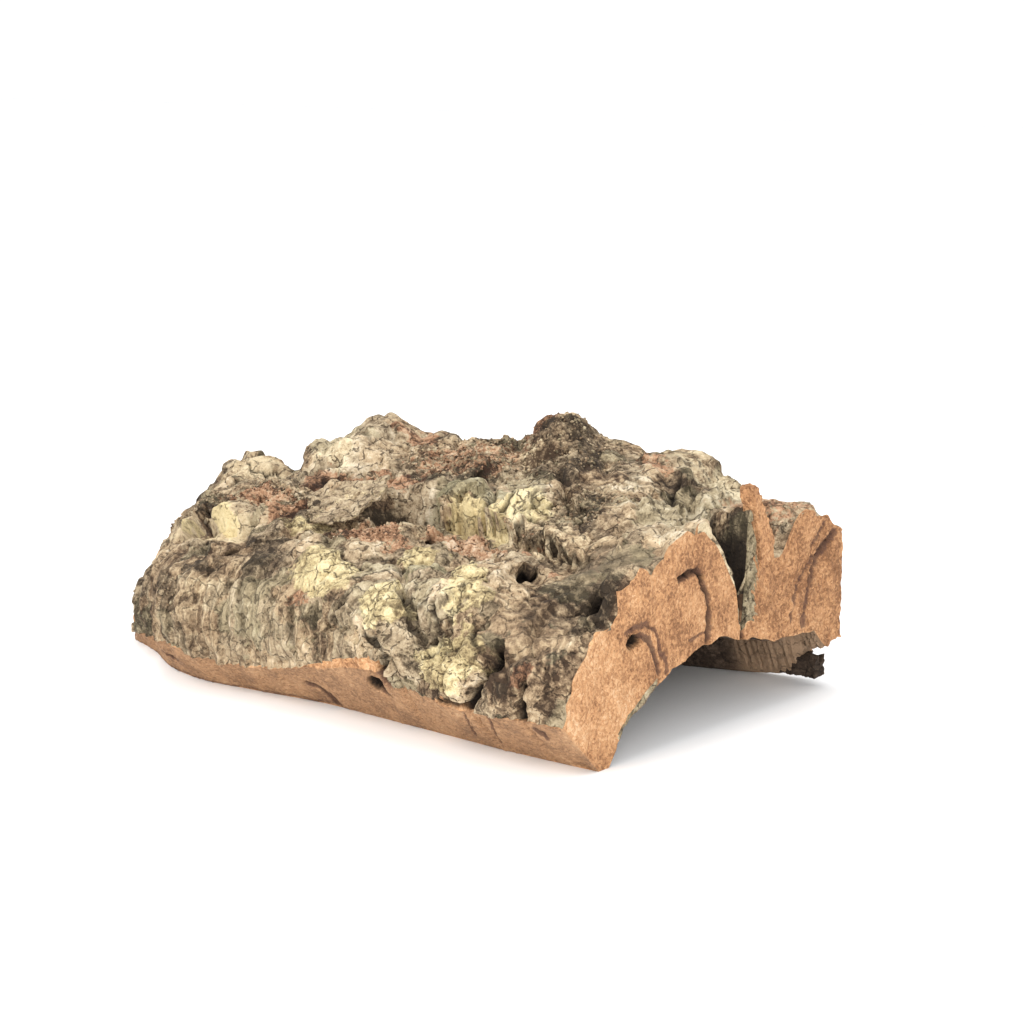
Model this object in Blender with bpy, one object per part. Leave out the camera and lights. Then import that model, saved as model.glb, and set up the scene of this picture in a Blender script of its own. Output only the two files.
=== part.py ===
"""A slab of virgin cork bark, sawn along its back, its front foot and its two ends.

The slab is one natural piece, so it is one closed solid. It lies bark side up on its two
long edges, with a low tunnel under it. Sizes in the tables are millimetres: X runs along the
slab, Y from the sawn back (Y = 0) towards the front (negative), and Z up from the surface it
lies on. The finished mesh is in metres, with its origin under the middle of its box.
"""

import bmesh
import bpy
import numpy as np
from mathutils import Vector, noise

MM = 0.001
NAME = "bark_slab"

# Plan: the slab is a four-sided piece, longer at its sawn back than at its front foot
LENGTH = 228.0
BACK_LEFT = -114.0
FRONT_LEFT = -82.0
FRONT_LENGTH = 187.0
PLAN_CENTRE_Y = -63.0

# Front foot: share of the length, and how far in front of the back it stands
FOOT_AT = (0.0, 0.08, 0.16, 0.235, 0.36, 0.49, 0.60, 0.72, 0.84, 1.0)
FOOT_Y = (-68.0, -76.0, -87.0, -93.0, -95.0, -95.5, -99.0, -103.0, -107.0, -110.5)

# Bark side: sections across the slab at these shares of its length, as (y, z) from the top of
# the sawn front band, over the steep flank and the shoulder, to the sawn back
SECTION_AT = (0.0, 0.08, 0.20, 0.35, 0.50, 0.65, 0.80, 0.92, 1.0)
SECTION_ARC = (0.0, 9.0, 19.0, 32.0, 52.0, 80.0, 106.0, 128.0)
SECTIONS = (
    ((-69.0, 2.5), (-69.0, 8.0), (-66.0, 12.0), (-57.0, 16.0),
     (-42.0, 20.0), (-30.0, 26.0), (-15.0, 28.0), (0.0, 31.0)),
    ((-80.0, 5.5), (-82.0, 12.0), (-79.0, 20.0), (-70.0, 26.0),
     (-55.0, 31.0), (-38.0, 36.0), (-18.0, 39.0), (0.0, 42.0)),
    ((-101.0, 11.0), (-104.0, 20.0), (-100.0, 29.0), (-88.0, 36.0),
     (-70.0, 41.0), (-48.0, 42.0), (-22.0, 41.0), (0.0, 41.0)),
    ((-105.0, 9.0), (-108.0, 19.0), (-105.0, 30.0), (-92.0, 39.0),
     (-75.0, 44.0), (-50.0, 48.0), (-22.0, 53.0), (0.0, 55.0)),
    ((-111.0, 13.0), (-113.0, 22.0), (-109.0, 31.0), (-97.0, 38.0),
     (-78.0, 44.0), (-50.0, 50.0), (-22.0, 55.0), (0.0, 57.0)),
    ((-118.0, 18.0), (-119.0, 25.0), (-114.0, 32.0), (-101.0, 39.0),
     (-82.0, 45.0), (-52.0, 52.0), (-24.0, 57.0), (0.0, 60.0)),
    ((-122.0, 13.5), (-123.0, 23.0), (-118.0, 31.0), (-105.0, 39.0),
     (-85.0, 46.0), (-58.0, 53.0), (-28.0, 56.0), (0.0, 56.0)),
    ((-125.0, 14.0), (-124.0, 23.0), (-118.0, 31.0), (-106.0, 38.0),
     (-88.0, 46.0), (-62.0, 54.0), (-32.0, 53.0), (0.0, 48.0)),
    ((-126.5, 14.4), (-122.0, 23.4), (-115.0, 31.6), (-103.0, 38.0),
     (-88.0, 46.5), (-66.0, 54.8), (-34.0, 52.0), (0.0, 42.0)),
)

# Underside: a low arch. Its height along the slab, and its shape from the back to the foot
ARCH_AT = (0.0, 0.08, 0.20, 0.35, 0.60, 1.0)
ARCH_RISE = (9.0, 13.0, 18.5, 22.0, 24.0, 24.0)
ARCH_SHARE = (0.0, 0.065, 0.12, 0.17, 0.30, 0.42, 0.53, 0.62, 0.72, 0.80, 0.88, 0.93, 0.96, 1.0)
ARCH_SHAPE = (0.0, 0.0, 0.55, 0.68, 0.77, 0.88, 1.0, 0.94, 0.83, 0.64, 0.42, 0.20, 0.0, 0.0)
BELLY_SHARE = (1.0, 0.95, 0.89, 0.825, 0.74, 0.59, 0.30, 0.0)
REAR_RIM_AT = (0.0, 0.05, 0.12, 0.80, 0.90, 0.955, 0.972, 1.0)
REAR_RIM_Z = (4.0, 1.5, 0.0, 0.0, 1.5, 3.0, 12.3, 13.0)
BELLY_ROUGHNESS = 0.9

# Bark features stand at (a, b): a is millimetres along the back from the left end, b is
# millimetres over the bark from the front band
BARK_GIRTH = SECTION_ARC[-1]
# Lump: a, b, half length, half width, height, turn in degrees, softness of its rim
LUMPS = (
    (30.0, 118.0, 19.0, 13.0, 3.0, 0.0, 0.9),
    (74.0, 113.0, 16.0, 22.0, 6.5, 0.0, 0.4),
    (144.0, 119.0, 10.0, 12.0, 9.5, 0.0, 0.8),
    (156.0, 103.0, 11.0, 16.0, 5.5, 35.0, 0.8),
    (188.0, 121.0, 18.0, 14.0, 4.0, -15.0, 0.9),
    (176.0, 92.0, 22.0, 12.0, 2.0, 0.0, 0.9),
    (120.0, 116.0, 18.0, 14.0, 2.0, 0.0, 0.9),
    (60.0, 74.0, 20.0, 12.0, 2.5, 10.0, 0.6),
    (100.0, 72.0, 14.0, 9.0, 3.0, 0.0, 0.4),
    (170.0, 34.0, 20.0, 12.0, 2.5, 0.0, 0.7),
    (110.0, 40.0, 18.0, 10.0, 2.0, 0.0, 0.6),
    (54.0, 119.0, 5.0, 16.0, -4.0, 0.0, 0.6),
    (118.5, 69.5, 12.5, 9.0, -8.5, 0.0, 0.5),
    (190.0, 42.0, 6.0, 5.0, -4.0, 0.0, 0.6),
    (222.5, 27.5, 7.0, 4.0, -2.2, 0.0, 0.6),
    (228.0, 41.0, 10.0, 8.0, 6.3, 0.0, 0.35),
    (228.0, 106.0, 14.0, 6.5, -13.0, 0.0, 0.6),
    (226.0, 120.5, 8.0, 4.5, 2.0, 0.0, 0.8),
    (214.0, 98.5, 14.0, 4.0, 1.5, -8.0, 0.7),
)
# Plate edge across the top: a, b and the height of the step there
STEP_LINE = (
    (6.0, 60.0, 0.0), (14.0, 57.0, 4.5), (22.0, 55.0, 7.0), (35.0, 52.0, 7.5), (36.5, 56.0, 7.5),
    (40.0, 56.0, 7.5), (41.5, 49.0, 7.5), (62.0, 47.5, 7.0), (66.0, 52.0, 5.0), (76.0, 52.0, 2.5),
    (84.0, 60.0, 3.0), (96.0, 58.0, 4.0), (109.0, 58.0, 4.5), (114.0, 70.0, 4.0),
    (122.0, 77.0, 5.0), (130.0, 79.0, 8.0), (131.4, 78.0, 9.0), (132.4, 69.5, 10.5),
    (137.0, 69.0, 10.5), (137.5, 76.0, 10.5), (139.0, 76.0, 10.5), (139.5, 68.5, 10.5),
    (153.0, 67.0, 9.0), (166.0, 64.5, 6.5), (180.0, 60.0, 5.0), (195.0, 56.0, 4.0),
    (208.0, 56.0, 0.0),
)
STEP_WIDTH = 3.5
STEP_REACH = 24.0
# Fissure: depth, half width, and its points (a, b)
FISSURES = (
    (7.0, 2.6, ((198.0, 18.5), (200.5, 14.5), (196.8, 10.5), (198.0, 8.0), (194.5, 4.0),
                (191.5, 0.5))),
    (4.5, 2.4, ((150.0, 12.0), (157.0, 6.0), (159.0, 0.0))),
    (5.5, 2.4, ((214.0, 8.5), (212.3, 0.0))),
    (4.0, 2.2, ((38.0, 60.0), (40.0, 50.0), (43.0, 42.0))),
    (3.5, 2.2, ((151.0, 27.0), (162.0, 23.5), (164.0, 19.8), (168.0, 17.0))),
    (3.0, 2.2, ((177.0, 26.0), (176.5, 21.6), (180.0, 16.6), (177.0, 11.5))),
    (4.0, 2.4, ((139.0, 88.0), (146.0, 80.0), (150.0, 70.0))),
    (3.5, 2.4, ((160.0, 94.0), (172.0, 84.0), (186.0, 76.0))),
    (3.0, 2.4, ((86.0, 88.0), (98.0, 96.0), (112.0, 100.0))),
    (3.0, 2.4, ((54.0, 92.0), (66.0, 88.0), (78.0, 92.0))),
)
# Furrow between the front and rear lobes of the right end: a, b, depth
FURROW = ((182.0, 111.0, 0.0), (196.0, 108.0, 4.0), (206.0, 103.5, 8.0), (215.0, 98.0, 15.0),
          (222.0, 95.6, 24.0), (228.0, 94.6, 30.0))
FURROW_FRONT, FURROW_CURVE, FURROW_SLOPE = 15.0, 1.3, 0.85
FURROW_SLOT = 2.6
# The mesh rows gather towards the furrow, over this width and by this share
GATHER_WIDTH, GATHER = 13.0, 0.62
# Relief that covers the bark: size of its pattern and its height
ROUGH_SIZE, ROUGH_HEIGHT = 15.0, 2.3
PLATE_SIZE, PLATE_HEIGHT = 21.0, 3.0
CRACK_SIZE, CRACK_DEPTH, CRACK_WIDTH = 19.0, 2.2, 0.2
RIB_PITCH, RIB_HEIGHT = 9.5, 1.1

# Mesh: cells along the slab, across it and through it
CELLS = (80, 47, 5)
BELLY_KEPT = 0.5
LAND_CLEAR = 1.0
SLAB_COLOUR = (0.42, 0.31, 0.20, 1.0)


def hermite(knots, values, x, pointwise=False):
    """Read a smooth curve through values at knots; pointwise reads column n at x[n]."""
    knots = np.asarray(knots, float)
    values = np.asarray(values, float)
    x = np.asarray(x, float)
    gaps = np.diff(knots)
    tail = (1,) * (values.ndim - 1)
    slopes = np.diff(values, axis=0) / gaps.reshape(-1, *tail)
    share = (gaps[1:] / (gaps[1:] + gaps[:-1])).reshape(-1, *tail)
    tangents = np.concatenate([slopes[:1], slopes[:-1] * share + slopes[1:] * (1 - share), slopes[-1:]])
    low = np.clip(np.searchsorted(knots, x, side="right") - 1, 0, len(knots) - 2)
    span = gaps[low]
    u = (x - knots[low]) / span
    if pointwise:
        column = np.arange(len(x))
        tail = (1,) * (values.ndim - 2)
        ends = values[low, column], values[low + 1, column]
        leans = tangents[low, column], tangents[low + 1, column]
    else:
        ends = values[low], values[low + 1]
        leans = tangents[low], tangents[low + 1]
    u, span = u.reshape(-1, *tail), span.reshape(-1, *tail)
    rise = u * u * (3 - 2 * u)
    bend = leans[0] * span * (u - 2 * u**2 + u**3) + leans[1] * span * (u**3 - u**2)
    return ends[0] * (1 - rise) + ends[1] * rise + bend


def smooth_step(low, high, x):
    """Rise from 0 to 1 between low and high, level outside them."""
    u = np.clip((x - low) / (high - low), 0.0, 1.0)
    return u * u * (3 - 2 * u)


def plan_x(s, y):
    """X of a point at share s of the length and at y, on the line from front to back."""
    foot = hermite(FOOT_AT, FOOT_Y, s)
    back = BACK_LEFT + LENGTH * s
    front = FRONT_LEFT + FRONT_LENGTH * s
    return back + (front - back) * y / foot


def bark_form(s, t):
    """The bark side without relief: s along, t from the front band to the back."""
    arcs = np.array(SECTION_ARC) / BARK_GIRTH
    rows = np.stack([hermite(arcs, section, t) for section in SECTIONS])
    y, z = hermite(SECTION_AT, rows, s, pointwise=True).T
    return np.stack([plan_x(s, y), y, z], axis=1)


def belly_form(s, t):
    """The underside: a rough arch that stands on the front foot and on the rear rim."""
    arcs = np.array(SECTION_ARC) / BARK_GIRTH
    share = np.clip(hermite(arcs, BELLY_SHARE, t), 0.0, 1.0)
    y = share * hermite(FOOT_AT, FOOT_Y, s)
    arch = np.interp(share, ARCH_SHARE, ARCH_SHAPE)
    rim = np.interp(s, REAR_RIM_AT, REAR_RIM_Z) * smooth_step(0.30, 0.0, share)
    x = plan_x(s, y)
    rough = [noise.fractal(Vector((px / 34.0, py / 15.0, 3.0)), 1.0, 2.0, 2) for px, py in zip(x, y)]
    z = arch * (hermite(ARCH_AT, ARCH_RISE, s) - rim) + rim
    z += np.array(rough) * BELLY_ROUGHNESS * smooth_step(0.0, 6.0, z)
    return np.stack([x, y, np.maximum(z, 0.0)], axis=1)


def bark_normals(s, t):
    """Unit normals of the plain form, turned along the sawn faces at its edges."""
    step = 1e-3
    along = bark_form(np.minimum(s + step, 1), t) - bark_form(np.maximum(s - step, 0), t)
    over = bark_form(s, np.minimum(t + step, 1)) - bark_form(s, np.maximum(t - step, 0))
    normals = np.cross(along, over)
    normals /= np.linalg.norm(normals, axis=1, keepdims=True)
    end_normals = ((0.0, -0.905, -0.425), (1.0, 0.996, -0.087))
    for end, nx, ny in end_normals:
        across = normals[:, 0] * nx + normals[:, 1] * ny
        near = across * smooth_step(9.0, 1.0, np.abs(s - end) * LENGTH)
        normals[:, 0] -= nx * near
        normals[:, 1] -= ny * near
    normals[:, 1] *= smooth_step(1.0, 0.94, t)
    return normals


def lumps(a, b):
    """Rounded knobs, humps and hollows."""
    total = np.zeros_like(a)
    for at_a, at_b, half_a, half_b, height, turn, soft in LUMPS:
        angle = np.radians(turn)
        da = (a - at_a) * np.cos(angle) + (b - at_b) * np.sin(angle)
        db = (b - at_b) * np.cos(angle) - (a - at_a) * np.sin(angle)
        away = np.sqrt((da / half_a) ** 2 + (db / half_b) ** 2)
        total += height * smooth_step(1 + soft / 2, 1 - soft * 0.9, away)
    return total


def plate_step(a, b):
    """The broken plate edge that crosses the top from left to right."""
    line = np.array(STEP_LINE)
    edge = np.interp(a, line[:, 0], line[:, 1])
    height = np.interp(a, line[:, 0], line[:, 2], left=0.0, right=0.0)
    away = b - edge
    fade = np.clip(1 - np.abs(away) / STEP_REACH, 0.0, 1.0)
    return height * (smooth_step(-STEP_WIDTH / 2, STEP_WIDTH / 2, away) - 0.5) * fade


def line_distance(a, b, points):
    """Distance of every (a, b) from a run of points."""
    nearest = np.full_like(a, np.inf)
    for (a0, b0), (a1, b1) in zip(points, points[1:]):
        run_a, run_b = a1 - a0, b1 - b0
        u = np.clip(((a - a0) * run_a + (b - b0) * run_b) / (run_a**2 + run_b**2), 0.0, 1.0)
        nearest = np.minimum(nearest, np.hypot(a - a0 - u * run_a, b - b0 - u * run_b))
    return nearest


def fissures(a, b):
    """Named deep cracks, as negative heights."""
    total = np.zeros_like(a)
    for depth, half_width, points in FISSURES:
        away = line_distance(a, b, points)
        total = np.minimum(total, -depth * smooth_step(half_width, 0.0, away))
    return total


def rough_bark(a, b, form):
    """Broken plates, cracks between them and general roughness over the whole bark."""
    heights = np.empty(len(form))
    for index, (px, py, pz) in enumerate(form):
        rough = noise.fractal(Vector((px, py, pz)) / ROUGH_SIZE, 0.8, 2.1, 3)
        plates = noise.noise(Vector((px, py, pz)) / PLATE_SIZE) * 3.0
        lift = plates - np.floor(plates)
        terrace = np.floor(plates) + min(max((lift - 0.35) / 0.3, 0.0), 1.0)
        near, second = noise.voronoi(Vector((px, py, pz)) / CRACK_SIZE)[0][:2]
        crack = max(0.0, 1 - (second - near) / CRACK_WIDTH)
        heights[index] = rough * ROUGH_HEIGHT + terrace * PLATE_HEIGHT / 2 - crack * CRACK_DEPTH
    ribs = np.cos(form[:, 0] * 2 * np.pi / RIB_PITCH + 1.6 * np.sin(b / 13.0))
    on_flank = smooth_step(34.0, 20.0, b) * smooth_step(120.0, 85.0, a)
    return heights * (1 - 0.6 * on_flank) + RIB_HEIGHT * ribs * on_flank


def furrow_line(a):
    """Where the furrow runs at a, and how deep it is there."""
    line = np.array(FURROW)
    centre = np.interp(a, line[:, 0], line[:, 1])
    depth = np.interp(a, line[:, 0], line[:, 2], left=0.0)
    return centre, depth


def gathered(s, t):
    """Draw the mesh rows near the furrow closer to it, so that its steep wall keeps its shape."""
    centre, depth = furrow_line(s * LENGTH)
    b = t * BARK_GIRTH
    away = b - centre
    pull = GATHER * smooth_step(0.0, 15.0, depth) * np.exp(-((away / GATHER_WIDTH) ** 2))
    pull *= smooth_step(0.0, GATHER_WIDTH, BARK_GIRTH - b)
    return (b - away * pull) / BARK_GIRTH


def furrow_depth(a, b):
    """The deep furrow that splits the right end: a long front slope, a slot, a steep rear wall."""
    centre, depth = furrow_line(a)
    away = b - centre
    slope = np.clip(1 + away / FURROW_FRONT, 0.0, 1.0) ** FURROW_CURVE
    slot = smooth_step(FURROW_SLOT, 0.0, np.abs(away))
    front = FURROW_SLOPE * slope + (1 - FURROW_SLOPE) * slot
    return depth * np.where(away < 0, front, smooth_step(FURROW_SLOT, 0.0, away))


def bark_surface(s, t):
    """The bark side with its relief."""
    form = bark_form(s, t)
    a, b = s * LENGTH, t * BARK_GIRTH
    height = lumps(a, b) + plate_step(a, b) + fissures(a, b) + rough_bark(a, b, form)
    height *= smooth_step(-2.0, 10.0, b) * 0.5 + 0.5
    surface = form + bark_normals(s, t) * height[:, None]
    surface[:, 2] -= furrow_depth(a, b)
    return surface


def gridded_block(cells):
    """A cube cut into cells, whose corners are the unit shares s, t and w."""
    bm = bmesh.new()
    bmesh.ops.create_cube(bm, size=1.0)
    for axis, count in enumerate(cells):
        edges = [e for e in bm.edges if abs((e.verts[1].co - e.verts[0].co)[axis]) > 0.9]
        bmesh.ops.subdivide_edges(bm, edges=edges, cuts=count - 1, use_grid_fill=True)
    return bm


def build_slab():
    """Shape the gridded block: underside, sawn sides and bark."""
    bm = gridded_block(CELLS)
    shares = np.array([v.co[:] for v in bm.verts]) + 0.5
    s, t, w = shares.T
    inner = (w == 0) & (t > 0) & (t < 1) & (s > 0) & (s < 1)
    t = gathered(s, t)
    underside = belly_form(s, t)
    points = underside + (bark_surface(s, t) - underside) * w[:, None]
    points[:, 1] -= PLAN_CENTRE_Y
    for vert, point in zip(bm.verts, points * MM):
        vert.co = point
    bmesh.ops.recalc_face_normals(bm, faces=bm.faces)
    mesh = bpy.data.meshes.new(NAME)
    bm.to_mesh(mesh)
    bm.free()
    slab = bpy.data.objects.new(NAME, mesh)
    coarse = slab.vertex_groups.new(name="underside")
    coarse.add(np.flatnonzero(inner & (points[:, 2] > LAND_CLEAR)).tolist(), 1.0, "REPLACE")
    thin = slab.modifiers.new("Coarser underside", "DECIMATE")
    thin.vertex_group = coarse.name
    thin.ratio = BELLY_KEPT
    return slab


def cork_material():
    """The slab's average colour: pale tan cork under grey-brown bark."""
    material = bpy.data.materials.new("cork_bark")
    material.use_nodes = True
    shader = material.node_tree.nodes["Principled BSDF"]
    shader.inputs["Base Color"].default_value = SLAB_COLOUR
    shader.inputs["Roughness"].default_value = 0.92
    shader.inputs["Metallic"].default_value = 0.0
    return material


def main():
    """Clear the scene and build the slab in its own collection."""
    for old in list(bpy.data.objects):
        bpy.data.objects.remove(old, do_unlink=True)
    collection = bpy.data.collections.new("cork_bark_slab")
    bpy.context.scene.collection.children.link(collection)
    slab = build_slab()
    slab.data.materials.append(cork_material())
    collection.objects.link(slab)


main()
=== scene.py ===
"""Visual model of a slab of virgin cork bark, lying on a pale floor.

The slab's form follows the same tables as the solid that it stands for. Sizes in this file are
millimetres in the slab's own layout: X along the slab, Y = 0 at the sawn back and negative to
the front, Z up. Finished meshes are in metres, shifted to the middle of the slab's box.
Places on the bark side are given as (a, b): a runs along the back from the left end, b runs
over the bark from the sawn front band.
"""

from __future__ import annotations

import logging
import math
from collections.abc import Sequence
from dataclasses import dataclass, field
from enum import Enum

import bmesh
import bpy
import numpy as np
from mathutils import Matrix, Vector, noise

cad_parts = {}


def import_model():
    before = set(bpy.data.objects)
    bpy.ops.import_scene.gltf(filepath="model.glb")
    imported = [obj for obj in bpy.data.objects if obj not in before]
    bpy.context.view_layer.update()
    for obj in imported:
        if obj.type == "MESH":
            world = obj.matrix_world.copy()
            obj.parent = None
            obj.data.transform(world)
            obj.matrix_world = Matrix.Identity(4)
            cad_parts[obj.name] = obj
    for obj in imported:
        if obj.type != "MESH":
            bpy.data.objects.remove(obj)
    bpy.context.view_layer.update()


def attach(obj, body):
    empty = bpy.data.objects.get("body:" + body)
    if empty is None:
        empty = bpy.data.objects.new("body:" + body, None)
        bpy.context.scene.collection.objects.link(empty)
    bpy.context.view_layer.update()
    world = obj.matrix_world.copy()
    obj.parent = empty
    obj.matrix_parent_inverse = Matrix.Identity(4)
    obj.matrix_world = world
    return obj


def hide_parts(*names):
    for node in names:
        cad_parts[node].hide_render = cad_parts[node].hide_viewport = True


Array = np.ndarray
Rows = tuple[tuple[float, ...], ...]
Colour = tuple[float, float, float]
Channels = Sequence[Array | float]

MM = 0.001
SHIFT = np.array([0.0, 63.0, 0.0])
# How near a share of the block is to 0 or 1 on one of its faces
ON_FACE = 1e-4
NO_MASKS = (0.0, 0.0, 0.0)
# Tone and warmth in the middle of their range, and no calm
EVEN_SHIFT = (0.5, 0.5, 0.0)
log = logging.getLogger("cork_bark")


def hermite(knots: Sequence[float], values: Array, x: Array, pointwise: bool = False) -> Array:
    """Read a smooth curve through values at knots.

    Args:
        knots: places of the values, rising.
        values: one value, or one row of values, for each knot.
        x: places to read the curve at.
        pointwise: read column n of the rows at x[n].

    Returns:
        The curve's value or row at each x.
    """
    knots = np.asarray(knots, float)
    values = np.asarray(values, float)
    x = np.asarray(x, float)
    gaps = np.diff(knots)
    tail = (1,) * (values.ndim - 1)
    slopes = np.diff(values, axis=0) / gaps.reshape(-1, *tail)
    share = (gaps[1:] / (gaps[1:] + gaps[:-1])).reshape(-1, *tail)
    inner = slopes[:-1] * share + slopes[1:] * (1 - share)
    tangents = np.concatenate([slopes[:1], inner, slopes[-1:]])
    low = np.clip(np.searchsorted(knots, x, side="right") - 1, 0, len(knots) - 2)
    span = gaps[low]
    u = (x - knots[low]) / span
    if pointwise:
        column = np.arange(len(x))
        tail = (1,) * (values.ndim - 2)
        ends = values[low, column], values[low + 1, column]
        leans = tangents[low, column], tangents[low + 1, column]
    else:
        ends = values[low], values[low + 1]
        leans = tangents[low], tangents[low + 1]
    u, span = u.reshape(-1, *tail), span.reshape(-1, *tail)
    rise = u * u * (3 - 2 * u)
    bend = leans[0] * span * (u - 2 * u**2 + u**3) + leans[1] * span * (u**3 - u**2)
    return ends[0] * (1 - rise) + ends[1] * rise + bend


def smooth_step(low: float, high: float, x: Array) -> Array:
    """Rise from 0 to 1 between low and high, level outside them."""
    u = np.clip((x - low) / (high - low), 0.0, 1.0)
    return u * u * (3 - 2 * u)


def line_distance(x: Array, y: Array, points: Rows) -> Array:
    """Measure how far each (x, y) is from a run of points.

    Args:
        x: first coordinates.
        y: second coordinates.
        points: corners of the run.

    Returns:
        The distance of each place from the run.
    """
    nearest = np.full_like(x, np.inf)
    for (x0, y0), (x1, y1) in zip(points, points[1:]):
        run_x, run_y = x1 - x0, y1 - y0
        u = np.clip(((x - x0) * run_x + (y - y0) * run_y) / (run_x**2 + run_y**2), 0.0, 1.0)
        nearest = np.minimum(nearest, np.hypot(x - x0 - u * run_x, y - y0 - u * run_y))
    return nearest


def fractal(points: Array, size: float, octaves: int, gain: float = 0.9, offset: float = 0.0) -> Array:
    """Read fractal noise at each point.

    Args:
        points: places in mm, one row each.
        size: size of the largest pattern in mm.
        octaves: how many finer patterns are added.
        gain: how fast the finer patterns fade.
        offset: shift that gives an unrelated pattern.

    Returns:
        Noise about 0 at each point.
    """
    places = points / size + offset
    return np.array([noise.fractal(Vector(place), gain, 2.1, octaves) for place in places])


def crackle(points: Array, size: float, offset: float = 0.0) -> Array:
    """Read how far each point is from the nearest border between cells, 0 on the border."""
    return plates(points, size, offset)[0]


def plates(points: Array, size: float, offset: float = 0.0) -> tuple[Array, Array]:
    """Read a pattern of plates.

    Args:
        points: places in mm, one row each.
        size: size of a plate in mm.
        offset: shift that gives an unrelated pattern.

    Returns:
        How far each point is from its plate's border, and a chance value of its plate.
    """
    border, heart = np.empty(len(points)), np.empty((len(points), 3))
    for index, place in enumerate(points / size + offset):
        gaps, hearts = noise.voronoi(Vector(place))
        border[index] = gaps[1] - gaps[0]
        heart[index] = hearts[0]
    return border, np.modf(np.abs(np.sin(heart @ np.array([12.99, 78.23, 37.72])) * 4375.85))[0]


def read_points(obj: bpy.types.Object) -> Array:
    """Give the mesh's points, one row each."""
    flat = np.empty(len(obj.data.vertices) * 3, np.float32)
    obj.data.vertices.foreach_get("co", flat)
    return flat.reshape(-1, 3).astype(float)


def write_points(obj: bpy.types.Object, points: Array) -> None:
    """Move the mesh's points to the given rows."""
    obj.data.vertices.foreach_set("co", np.ascontiguousarray(points, np.float32).ravel())
    obj.data.update()


def read_normals(obj: bpy.types.Object) -> Array:
    """Give the unit normal at each of the mesh's points."""
    flat = np.empty(len(obj.data.vertices) * 3, np.float32)
    obj.data.vertex_normals.foreach_get("vector", flat)
    return flat.reshape(-1, 3).astype(float)


def write_mask(obj: bpy.types.Object, name: str, channels: Channels) -> None:
    """Store three masks as one attribute of the mesh's points.

    Args:
        obj: the mesh object.
        name: the attribute's name.
        channels: three masks, each one value for all points or one for each point.
    """
    attribute = obj.data.attributes.new(name, "FLOAT_COLOR", "POINT")
    rows = np.ones((len(obj.data.vertices), 4), np.float32)
    for index, channel in enumerate(channels):
        rows[:, index] = channel
    attribute.data.foreach_set("color", rows.ravel())


def write_masks(obj: bpy.types.Object, covers: Channels, marks: Channels = NO_MASKS,
                places: Channels = NO_MASKS, shift: Channels = EVEN_SHIFT,
                site: Channels = NO_MASKS, lines: Channels = NO_MASKS) -> None:
    """Store all masks that the finish reads.

    Args:
        obj: the mesh object.
        covers: a mask for each cover, in their order.
        marks: growth lines, underside, and near-black painted shade in holes, cracks and recesses.
        places: front band, greyer parts of the right end, and fibre of the rear foot.
        shift: tone, warmth and calm of each plate of bark.
        site: the place along the slab and over the bark, in hundreds of mm.
        lines: wavy ridges and upright ribs.
    """
    write_mask(obj, "cover_a", covers[:3])
    write_mask(obj, "cover_b", covers[3:])
    write_mask(obj, "marks", marks)
    write_mask(obj, "places", places)
    write_mask(obj, "shift", shift)
    write_mask(obj, "site", site)
    write_mask(obj, "lines", lines)


def write_sawn(obj: bpy.types.Object, sawn: Array) -> None:
    """Store on each face whether it was sawn (1) or is bark (0)."""
    attribute = obj.data.attributes.new("sawn", "FLOAT", "FACE")
    attribute.data.foreach_set("value", np.ascontiguousarray(sawn, np.float32))


def divided_cube(name: str, cells: Sequence[Sequence[int]]) -> bpy.types.Object:
    """Add a unit cube and cut it into cells.

    Args:
        name: the object's name.
        cells: for X, Y and Z, the cuts to make one after the other, as counts of pieces.

    Returns:
        The cube, centred on the origin, with its edges cut.
    """
    bpy.ops.object.select_all(action="DESELECT")
    bpy.ops.mesh.primitive_cube_add(size=1.0)
    cube = bpy.context.active_object
    cube.name = cube.data.name = name
    bpy.ops.object.mode_set(mode="EDIT")
    bpy.ops.mesh.select_mode(type="EDGE")
    for axis, counts in enumerate(cells):
        for count in counts:
            bpy.ops.mesh.select_all(action="DESELECT")
            mesh = bmesh.from_edit_mesh(cube.data)
            for edge in mesh.edges:
                if abs(edge.verts[0].co[axis] - edge.verts[1].co[axis]) > 1e-6:
                    edge.select_set(True)
            bmesh.update_edit_mesh(cube.data)
            bpy.ops.mesh.subdivide(number_cuts=count - 1, smoothness=0.0)
    bpy.ops.object.mode_set(mode="OBJECT")
    return cube


def shade(obj: bpy.types.Object, degrees: float) -> None:
    """Shade the object smooth, but sharp where faces turn by more than the angle."""
    bpy.ops.object.select_all(action="DESELECT")
    obj.select_set(True)
    bpy.context.view_layer.objects.active = obj
    bpy.ops.object.shade_smooth_by_angle(angle=math.radians(degrees))


def finish_piece(obj: bpy.types.Object, material: bpy.types.Material) -> None:
    """Give a piece its material and its body, and report it."""
    obj.data.materials.clear()
    obj.data.materials.append(material)
    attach(obj, "root")
    log.info("%s: %d faces", obj.name, len(obj.data.polygons))


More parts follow.
